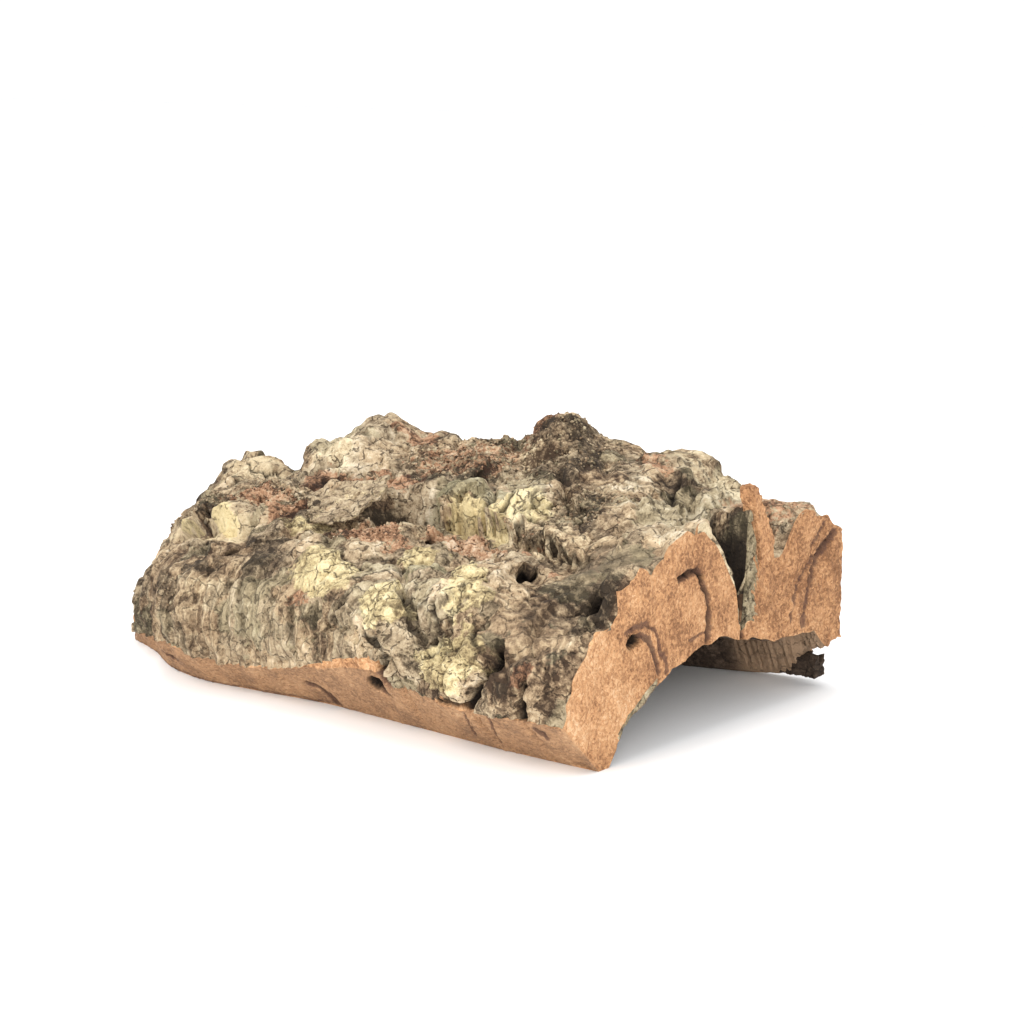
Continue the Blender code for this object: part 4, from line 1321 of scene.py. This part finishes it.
class Graph:
    """Adds shader nodes in a few words."""

    def __init__(self, tree: bpy.types.NodeTree) -> None:
        """Work on the given tree."""
        self.tree = tree

    def add(self, kind: str, **settings: object) -> bpy.types.Node:
        """Add a node and set its properties."""
        node = self.tree.nodes.new(kind)
        for name, value in settings.items():
            setattr(node, name, value)
        return node

    def feed(self, socket: bpy.types.NodeSocket, value: object) -> None:
        """Link a socket to another, or set its value."""
        if isinstance(value, bpy.types.NodeSocket):
            self.tree.links.new(value, socket)
        else:
            socket.default_value = value

    def math(self, operation: str, first: object, second: object = 0.0) -> bpy.types.NodeSocket:
        """Combine two values."""
        node = self.add("ShaderNodeMath", operation=operation)
        self.feed(node.inputs[0], first)
        self.feed(node.inputs[1], second)
        return node.outputs[0]

    def total(self, *parts: tuple[object, float]) -> bpy.types.NodeSocket:
        """Add values up, each with its weight."""
        result: object = 0.0
        for value, weight in parts:
            node = self.add("ShaderNodeMath", operation="MULTIPLY_ADD")
            self.feed(node.inputs[0], value)
            self.feed(node.inputs[1], weight)
            self.feed(node.inputs[2], result)
            result = node.outputs[0]
        return result

    def mix(self, factor: object, first: object, second: object) -> bpy.types.NodeSocket:
        """Mix two colours."""
        node = self.add("ShaderNodeMix", data_type="RGBA", clamp_factor=True)
        self.feed(node.inputs[0], factor)
        self.feed(node.inputs[6], first)
        self.feed(node.inputs[7], second)
        return node.outputs[2]

    def blend(self, factor: object, first: object, second: object) -> bpy.types.NodeSocket:
        """Mix two values."""
        node = self.add("ShaderNodeMix", data_type="FLOAT", clamp_factor=True)
        self.feed(node.inputs[0], factor)
        self.feed(node.inputs[2], first)
        self.feed(node.inputs[3], second)
        return node.outputs[0]

    def span(self, value: object, low: object, high: object) -> bpy.types.NodeSocket:
        """Rise smoothly from 0 at low to 1 at high."""
        node = self.add("ShaderNodeMapRange", interpolation_type="SMOOTHSTEP")
        self.feed(node.inputs["Value"], value)
        self.feed(node.inputs["From Min"], low)
        self.feed(node.inputs["From Max"], high)
        return node.outputs[0]

    def ramp(self, value: object, stops: Sequence[tuple[float, Colour]]) -> bpy.types.NodeSocket:
        """Read a colour from a row of stops."""
        node = self.add("ShaderNodeValToRGB")
        elements = node.color_ramp.elements
        while len(elements) < len(stops):
            elements.new(0.5)
        for element, (place, colour) in zip(elements, stops):
            element.position = place
            element.color = (*colour, 1.0)
        self.feed(node.inputs[0], value)
        return node.outputs[0]

    def noise(self, vector: object, scale: object, detail: float = 4.0, roughness: float = 0.6,
              output: str = "Fac") -> bpy.types.NodeSocket:
        """Read noise about 0.5."""
        node = self.add("ShaderNodeTexNoise")
        self.feed(node.inputs["Vector"], vector)
        self.feed(node.inputs["Scale"], scale)
        self.feed(node.inputs["Detail"], detail)
        self.feed(node.inputs["Roughness"], roughness)
        return node.outputs[output]

    def cells(self, vector: object, scale: object, feature: str = "F1") -> bpy.types.Node:
        """Add a pattern of cells."""
        node = self.add("ShaderNodeTexVoronoi", feature=feature)
        self.feed(node.inputs["Vector"], vector)
        self.feed(node.inputs["Scale"], scale)
        return node

    def warped(self, vector: object, scale: float, reach: float) -> bpy.types.NodeSocket:
        """Push places about by noise of the given scale, as far as reach."""
        push = self.add("ShaderNodeVectorMath", operation="SUBTRACT")
        self.feed(push.inputs[0], self.noise(vector, scale, 1.0, 0.6, "Color"))
        push.inputs[1].default_value = (0.5, 0.5, 0.5)
        place = self.add("ShaderNodeVectorMath", operation="MULTIPLY_ADD")
        self.feed(place.inputs[0], push.outputs[0])
        place.inputs[1].default_value = (reach, reach, reach)
        self.feed(place.inputs[2], vector)
        return place.outputs[0]

    def chance(self, cells: bpy.types.Node) -> bpy.types.NodeSocket:
        """Read one random value for each cell."""
        split = self.add("ShaderNodeSeparateColor")
        self.feed(split.inputs[0], cells.outputs["Color"])
        return split.outputs[0]

    def group(self, tree: bpy.types.NodeTree, **values: object) -> bpy.types.Node:
        """Place a node group with its values."""
        node = self.add("ShaderNodeGroup", node_tree=tree)
        for name, value in values.items():
            self.feed(node.inputs[name], value)
        return node


def new_group(name: str, inputs: Sequence[tuple[str, str, object]], outputs: Sequence[str]
              ) -> tuple[bpy.types.NodeTree, Graph, bpy.types.Node, bpy.types.Node]:
    """Start a shader node group.

    Args:
        name: the group's name.
        inputs: name, socket type and value of each input, None for no value.
        outputs: names of the outputs, all values.

    Returns:
        The group's tree, a Graph on it, its input node and its output node.
    """
    tree = bpy.data.node_groups.new(name, "ShaderNodeTree")
    for label, kind, value in inputs:
        socket = tree.interface.new_socket(name=label, in_out="INPUT", socket_type=kind)
        if value is not None:
            socket.default_value = value
    for label in outputs:
        tree.interface.new_socket(name=label, in_out="OUTPUT", socket_type="NodeSocketFloat")
    graph = Graph(tree)
    return tree, graph, graph.add("NodeGroupInput"), graph.add("NodeGroupOutput")


def ragged_edge_group() -> bpy.types.NodeTree:
    """Make the group that gives a soft mask a ragged, crumbling edge."""
    tree, graph, source, result = new_group(
        "ragged_edge",
        [("Vector", "NodeSocketVector", None), ("Mask", "NodeSocketFloat", 0.0),
         ("Scale", "NodeSocketFloat", 0.5), ("Rag", "NodeSocketFloat", 0.9),
         ("Blur", "NodeSocketFloat", 0.12)],
        ["Mask"])
    rag = graph.noise(source.outputs["Vector"], source.outputs["Scale"], 4.0, 0.72)
    wander = graph.math("MULTIPLY", graph.math("SUBTRACT", rag, 0.5), source.outputs["Rag"])
    whole = graph.total((source.outputs["Mask"], 1.0), (wander, 1.8))
    low = graph.math("SUBTRACT", 0.5, source.outputs["Blur"])
    high = graph.math("ADD", 0.5, source.outputs["Blur"])
    graph.feed(result.inputs["Mask"], graph.span(whole, low, high))
    return tree


def crumb_group() -> bpy.types.NodeTree:
    """Make the group for crumbling bark: a tone that varies, its height, dark pits and cracks."""
    tree, graph, source, result = new_group(
        "bark_crumb",
        [("Vector", "NodeSocketVector", None), ("Scale", "NodeSocketFloat", 0.3)],
        ["Tone", "Height", "Pits", "Cracks"])
    vector, scale = source.outputs["Vector"], source.outputs["Scale"]
    broad = graph.noise(vector, scale, 4.0, 0.66)
    fine = graph.noise(vector, graph.math("MULTIPLY", scale, 5.5), 3.0, 0.75)
    bent = graph.warped(vector, 0.9, 1.18)
    grains = graph.cells(bent, graph.math("MULTIPLY", scale, 3.2))
    specks = graph.cells(bent, graph.math("MULTIPLY", scale, 8.0))
    wide = graph.noise(vector, graph.math("MULTIPLY", scale, 0.4), 3.0, 0.6)
    tone = graph.total((wide, 0.30), (broad, 0.388), (fine, 0.116), (graph.chance(grains), 0.07),
                       (graph.chance(specks), 0.07), (1.0, 0.028))
    graph.feed(result.inputs["Tone"], tone)
    height = graph.total((fine, 0.75), (grains.outputs["Distance"], -0.4), (broad, 0.74),
                         (graph.chance(specks), 0.16))
    graph.feed(result.inputs["Height"], height)
    graph.feed(result.inputs["Pits"], graph.span(fine, 0.384, 0.303))
    shifted = graph.warped(vector, 0.35, 3.7)
    border = graph.cells(shifted, graph.math("MULTIPLY", scale, 0.62), "DISTANCE_TO_EDGE")
    broken = graph.span(graph.noise(vector, 0.5, 4.0, 0.7), 0.46, 0.54)
    line = graph.span(border.outputs["Distance"], 0.045, 0.012)
    graph.feed(result.inputs["Cracks"], graph.math("MULTIPLY", line, broken))
    return tree


def wave_group() -> bpy.types.NodeTree:
    """Make the group for the fine wavy ridges, by the places along the slab and over the bark."""
    tree, graph, source, result = new_group(
        "bark_waves",
        [("Along", "NodeSocketFloat", 0.0), ("Over", "NodeSocketFloat", 0.0),
         ("Wander", "NodeSocketFloat", 0.5)],
        ["Waves"])
    place = graph.add("ShaderNodeCombineXYZ")
    graph.feed(place.inputs[0], source.outputs["Along"])
    graph.feed(place.inputs[1], source.outputs["Over"])

    def away(centre: tuple[float, float]) -> bpy.types.NodeSocket:
        """Measure how far places are from a centre."""
        node = graph.add("ShaderNodeVectorMath", operation="DISTANCE")
        graph.feed(node.inputs[0], place.outputs[0])
        node.inputs[1].default_value = (*centre, 0.0)
        return node.outputs["Value"]

    upper = graph.math("GREATER_THAN", source.outputs["Over"], 0.6)
    ring = graph.blend(upper, away((1.96, 0.04)), away((2.02, -0.2)))
    turn = graph.total((ring, 240.0), (source.outputs["Wander"], 16.0))
    wave = graph.total((graph.math("SINE", turn), 0.5), (1.0, 0.5))
    graph.feed(result.inputs["Waves"], wave)
    return tree


def rib_group() -> bpy.types.NodeTree:
    """Make the group for the fine upright ribs of the front."""
    tree, graph, source, result = new_group(
        "bark_ribs", [("Across", "NodeSocketFloat", 0.0), ("Wander", "NodeSocketFloat", 0.5)], ["Ribs"])
    across, wander = source.outputs["Across"], source.outputs["Wander"]
    broad = graph.math("SINE", graph.total((across, 2.03), (wander, 18.0)))
    fine = graph.math("SINE", graph.total((across, 4.6), (wander, 31.0)))
    graph.feed(result.inputs["Ribs"], graph.total((broad, 0.32), (fine, 0.2), (1.0, 0.5)))
    return tree


def sawn_group() -> bpy.types.NodeTree:
    """Make the group for sawn cork: its tone, its dark pores and the height of its grains."""
    tree, graph, source, result = new_group(
        "sawn_grain", [("Vector", "NodeSocketVector", None)], ["Tone", "Pores", "Height"])
    vector = source.outputs["Vector"]
    broad = graph.noise(vector, 0.10, 4.0, 0.65)
    grain = graph.noise(vector, 0.9, 3.0, 0.68)
    fine = graph.noise(vector, 3.0, 1.0, 0.7)
    grains = graph.cells(graph.warped(vector, 1.1, 0.66), 1.5)
    tone = graph.total((broad, 0.48), (grain, 0.21), (fine, 0.094), (graph.chance(grains), 0.14),
                       (1.0, 0.038))
    graph.feed(result.inputs["Tone"], tone)
    pores = graph.span(graph.noise(vector, 1.0, 3.0, 0.8), 0.346, 0.264)
    graph.feed(result.inputs["Pores"], pores)
    height = graph.total((grain, 1.13), (fine, 0.34), (grains.outputs["Distance"], -0.4), (pores, -0.6))
    graph.feed(result.inputs["Height"], height)
    return tree


@dataclass(frozen=True)
class CorkFinish:
    """The slab's finish: weathered bark with lichen, and pinkish tan sawn cork."""

    bark_stops: tuple[tuple[float, Colour], ...] = (
        (0.34, (0.040, 0.028, 0.018)), (0.42, (0.150, 0.108, 0.068)), (0.49, (0.315, 0.240, 0.152)),
        (0.57, (0.470, 0.375, 0.250)), (0.68, (0.660, 0.560, 0.410)))
    tan_stops: tuple[tuple[float, Colour], ...] = (
        (0.34, (0.060, 0.034, 0.020)), (0.42, (0.210, 0.135, 0.078)), (0.49, (0.410, 0.290, 0.170)),
        (0.57, (0.560, 0.425, 0.270)), (0.68, (0.720, 0.600, 0.430)))
    lichen_stops: tuple[tuple[float, Colour], ...] = (
        (0.34, (0.110, 0.076, 0.040)), (0.43, (0.360, 0.280, 0.145)), (0.50, (0.600, 0.490, 0.265)),
        (0.60, (0.740, 0.630, 0.385)))
    cream_stops: tuple[tuple[float, Colour], ...] = (
        (0.34, (0.090, 0.058, 0.035)), (0.43, (0.330, 0.240, 0.145)), (0.50, (0.540, 0.430, 0.275)),
        (0.60, (0.690, 0.590, 0.400)))
    rust_stops: tuple[tuple[float, Colour], ...] = (
        (0.34, (0.045, 0.022, 0.014)), (0.42, (0.190, 0.095, 0.052)), (0.49, (0.380, 0.205, 0.115)),
        (0.57, (0.500, 0.315, 0.195)), (0.68, (0.640, 0.500, 0.360)))
    olive_stops: tuple[tuple[float, Colour], ...] = (
        (0.34, (0.090, 0.078, 0.045)), (0.50, (0.300, 0.262, 0.155)), (0.64, (0.450, 0.405, 0.265)))
    dark_colour: Colour = (0.030, 0.021, 0.014)
    # Near-black painted shade for holes, cracks, grooves and the furrow
    painted_shade_colour: Colour = (0.014, 0.009, 0.006)
    crack_colour: Colour = (0.060, 0.040, 0.025)
    sawn_stops: tuple[tuple[float, Colour], ...] = (
        (0.36, (0.225, 0.108, 0.052)), (0.43, (0.375, 0.192, 0.092)), (0.50, (0.500, 0.268, 0.128)),
        (0.57, (0.590, 0.345, 0.182)), (0.66, (0.680, 0.460, 0.285)))
    pore_colour: Colour = (0.090, 0.036, 0.016)
    # Painted shade for the front band, which faces down and forward
    band_shade_colour: Colour = (0.300, 0.215, 0.140)
    growth_colour: Colour = (0.100, 0.052, 0.040)
    # The underside's brown, made much darker by painted shade under the arch
    belly_shade_stops: tuple[tuple[float, Colour], ...] = (
        (0.36, (0.018, 0.012, 0.009)), (0.50, (0.070, 0.047, 0.033)), (0.64, (0.190, 0.135, 0.095)))
    fibre_colour: Colour = (0.330, 0.215, 0.130)
    bark_scale: float = 0.27
    middle_tone: float = 0.482
    pale_lift: float = 0.075
    dark_drop: float = -0.095
    wave_tone: float = 0.12
    rib_tone: float = 0.085
    roughness: float = 0.9
    roughness_spread: float = 0.08
    bump_distance: float = 0.00065

    def build(self) -> bpy.types.Material:
        """Make the material.

        Returns:
            The finished material.
        """
        material = bpy.data.materials.new("cork_bark")
        material.use_nodes = True
        graph = Graph(material.node_tree)
        shader = material.node_tree.nodes["Principled BSDF"]
        edge, crumb, grain = ragged_edge_group(), crumb_group(), sawn_group()
        ridges, striae = wave_group(), rib_group()
        scale = graph.add("ShaderNodeVectorMath", operation="SCALE")
        graph.feed(scale.inputs[0], graph.add("ShaderNodeTexCoord").outputs["Object"])
        scale.inputs["Scale"].default_value = 1 / MM
        vector = scale.outputs[0]

        def channels(name: str) -> list[bpy.types.NodeSocket]:
            """Split a stored attribute into its three masks."""
            stored = graph.add("ShaderNodeAttribute", attribute_name=name)
            split = graph.add("ShaderNodeSeparateColor")
            graph.feed(split.inputs[0], stored.outputs["Color"])
            return list(split.outputs)[:3]

        def ragged(mask: bpy.types.NodeSocket, size: float, rag: float, blur: float = 0.12
                   ) -> bpy.types.NodeSocket:
            """Break up a mask's edge."""
            return graph.group(edge, Vector=vector, Mask=mask, Scale=size, Rag=rag, Blur=blur).outputs[0]

        def stained(base: object, mask: object, share: float, stain: Colour) -> bpy.types.NodeSocket:
            """Lay a share of a plain colour over the base where the mask is."""
            return graph.mix(graph.math("MULTIPLY", mask, share), base, (*stain, 1.0))

        shift, warm, calm = channels("shift")
        along, over, _ = channels("site")
        waves, ribs, _ = channels("lines")
        lichen, cream, rust = channels("cover_a")
        pale, dark, olive = channels("cover_b")
        growth, belly, painted_shade = channels("marks")
        band, rear, fibre = channels("places")
        sawn = graph.add("ShaderNodeAttribute", attribute_name="sawn").outputs["Fac"]
        bark = graph.group(crumb, Vector=vector, Scale=self.bark_scale)
        wander = graph.noise(vector, 0.14, 3.0, 0.6)
        lines = graph.group(ridges, Along=along, Over=over, Wander=wander)
        wavy = graph.math("MULTIPLY", graph.math("SUBTRACT", lines.outputs["Waves"], 0.5), waves)
        split = graph.add("ShaderNodeSeparateXYZ")
        graph.feed(split.inputs[0], vector)
        upright = graph.group(striae, Across=split.outputs[0], Wander=wander)
        ribbed = graph.math("MULTIPLY", graph.math("SUBTRACT", upright.outputs["Ribs"], 0.5), ribs)
        stir = graph.total((calm, -0.55), (1.0, 1.0))
        plain = graph.math("MULTIPLY", graph.math("SUBTRACT", bark.outputs["Tone"], 0.5), stir)
        tone = graph.total(
            (plain, 1.0), (self.middle_tone, 1.0), (shift, 1.0),
            (ragged(pale, 0.35, 0.5, 0.4), self.pale_lift), (ragged(dark, 0.35, 0.5, 0.4), self.dark_drop),
            (wavy, self.wave_tone), (ribbed, self.rib_tone))
        tone = graph.math("SUBTRACT", tone, 0.5)
        colour = graph.ramp(tone, self.bark_stops)
        colour = graph.mix(graph.math("MULTIPLY", graph.span(warm, 0.45, 0.75), 0.55), colour,
                           graph.ramp(tone, self.tan_stops))
        colour = graph.mix(graph.math("MULTIPLY", graph.span(warm, 0.35, 0.1), 0.4), colour,
                           graph.ramp(tone, self.olive_stops))
        for mask, stops, size, rag, share in (
                (olive, self.olive_stops, 0.3, 0.6, 0.8), (rust, self.rust_stops, 0.55, 1.35, 0.85),
                (cream, self.cream_stops, 0.4, 0.6, 0.9), (lichen, self.lichen_stops, 0.35, 0.8, 0.85)):
            cover = graph.math("MULTIPLY", ragged(mask, size, rag, 0.16), share)
            colour = graph.mix(cover, colour, graph.ramp(tone, stops))
        colour = stained(colour, bark.outputs["Pits"], 0.75, self.dark_colour)
        cracks = graph.math("MULTIPLY", bark.outputs["Cracks"], stir)
        colour = stained(colour, cracks, 0.75, self.crack_colour)
        # Underside: its brown darkened by painted shade under the arch, lighter where fibres show
        under = graph.total((bark.outputs["Tone"], 1.0), (fibre, 0.12))
        colour = graph.mix(belly, colour, graph.ramp(under, self.belly_shade_stops))
        colour = stained(colour, fibre, 0.7, self.fibre_colour)
        cut = graph.group(grain, Vector=vector)
        # The front band gets painted shade: a lower tone and a greyish brown laid over it
        cut_tone = graph.total((cut.outputs["Tone"], 1.0), (-0.012, 1.0), (band, -0.04), (rear, -0.055))
        face = graph.ramp(cut_tone, self.sawn_stops)
        face = stained(face, band, 0.35, self.band_shade_colour)
        face = stained(face, cut.outputs["Pores"], 0.75, self.pore_colour)
        face = stained(face, ragged(growth, 0.9, 0.9, 0.3), 0.75, self.growth_colour)
        colour = graph.mix(sawn, colour, face)
        # Painted shade: near-black in holes, cracks, grooves, the furrow and the lowest places
        colour = stained(colour, painted_shade, 0.985, self.painted_shade_colour)
        graph.feed(shader.inputs["Base Color"], colour)
        dull, sheen = self.roughness + self.roughness_spread, self.roughness - self.roughness_spread
        graph.feed(shader.inputs["Roughness"], graph.blend(tone, dull, sheen))
        shader.inputs["Specular IOR Level"].default_value = 0.2
        bump = graph.add("ShaderNodeBump")
        bump.inputs["Strength"].default_value = 1.0
        bump.inputs["Distance"].default_value = self.bump_distance
        high = graph.math("MULTIPLY", bark.outputs["Height"], stir)
        high = graph.total((high, 1.0), (bark.outputs["Cracks"], -0.9), (wavy, 1.4), (ribbed, 1.1))
        graph.feed(bump.inputs["Height"], graph.blend(sawn, high, cut.outputs["Height"]))
        graph.feed(shader.inputs["Normal"], bump.outputs[0])
        return material


@dataclass
class Studio:
    """The pale floor, the soft lights and the camera."""

    floor_colour: Colour = (0.90, 0.90, 0.90)
    floor_size: float = 6.0
    camera_place: tuple[float, float, float] = (0.44713, -0.596835, 0.187669)
    camera_turn: float = 33.779
    camera_pitch: float = 10.777
    camera_lens: float = 96.59
    # What the lights face
    middle: tuple[float, float, float] = (0.0, 0.0, 0.03)

    def floor(self) -> None:
        """Lay the floor."""
        bpy.ops.object.select_all(action="DESELECT")
        bpy.ops.mesh.primitive_plane_add(size=self.floor_size, location=(0.0, 0.0, 0.0))
        floor = bpy.context.active_object
        floor.name = "floor"
        material = bpy.data.materials.new("pale_floor")
        material.use_nodes = True
        shader = material.node_tree.nodes["Principled BSDF"]
        shader.inputs["Base Color"].default_value = (*self.floor_colour, 1.0)
        shader.inputs["Roughness"].default_value = 0.85
        floor.data.materials.append(material)

    def light(self, name: str, place: Sequence[float], size: float, power: float, colour: Colour) -> None:
        """Hang one soft square light that faces the slab."""
        lamp = bpy.data.lights.new(name, "AREA")
        lamp.size = size
        lamp.energy = power
        lamp.color = colour
        holder = bpy.data.objects.new(name, lamp)
        holder.location = place
        aim = Vector(self.middle) - Vector(place)
        holder.rotation_euler = aim.to_track_quat("-Z", "Y").to_euler()
        bpy.context.scene.collection.objects.link(holder)

    def camera(self) -> None:
        """Set the camera where the photograph was taken from."""
        data = bpy.data.cameras.new("camera")
        data.lens = self.camera_lens
        data.sensor_fit = "HORIZONTAL"
        data.sensor_width = 36.0
        data.clip_start = 0.01
        turn, pitch = math.radians(self.camera_turn), math.radians(self.camera_pitch)
        level = math.cos(pitch)
        forward = Vector((-math.sin(turn) * level, math.cos(turn) * level, -math.sin(pitch)))
        right = Vector((math.cos(turn), math.sin(turn), 0.0))
        up = right.cross(forward)
        camera = bpy.data.objects.new("camera", data)
        camera.matrix_world = Matrix.Translation(self.camera_place) @ Matrix(
            (right, up, -forward)).transposed().to_4x4()
        bpy.context.scene.collection.objects.link(camera)
        bpy.context.scene.camera = camera

    def build(self) -> None:
        """Set up floor, lights, surroundings and camera."""
        self.camera()
        self.floor()
        self.light("key", (-0.15, -0.80, 0.80), 0.6, 6.6, (1.0, 0.985, 0.96))
        self.light("side", (0.62, -0.66, 0.22), 0.5, 5.4, (1.0, 0.98, 0.95))
        self.light("top", (-0.10, 0.20, 0.95), 0.7, 4.0, (0.98, 0.99, 1.0))
        world = bpy.data.worlds.new("studio")
        world.use_nodes = True
        background = world.node_tree.nodes["Background"]
        background.inputs["Color"].default_value = (0.985, 0.99, 1.0, 1.0)
        background.inputs["Strength"].default_value = 1.12
        scene = bpy.context.scene
        scene.world = world
        scene.view_settings.view_transform = "Standard"
        scene.view_settings.look = "None"


def main() -> None:
    """Load the frame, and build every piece."""
    logging.basicConfig(level=logging.INFO, format="%(message)s")
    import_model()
    Studio().build()
    material = CorkFinish().build()
    body = Slab()
    slab = body.build()
    finish_piece(slab, material)
    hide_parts("bark_slab")
    for piece in (LiftedFlake().build(), TornStrip(body.form).build(), FootSplinter().build(),
                  Crumbs().build(body.sites)):
        finish_piece(piece, material)


if __name__ == "__main__":
    main()
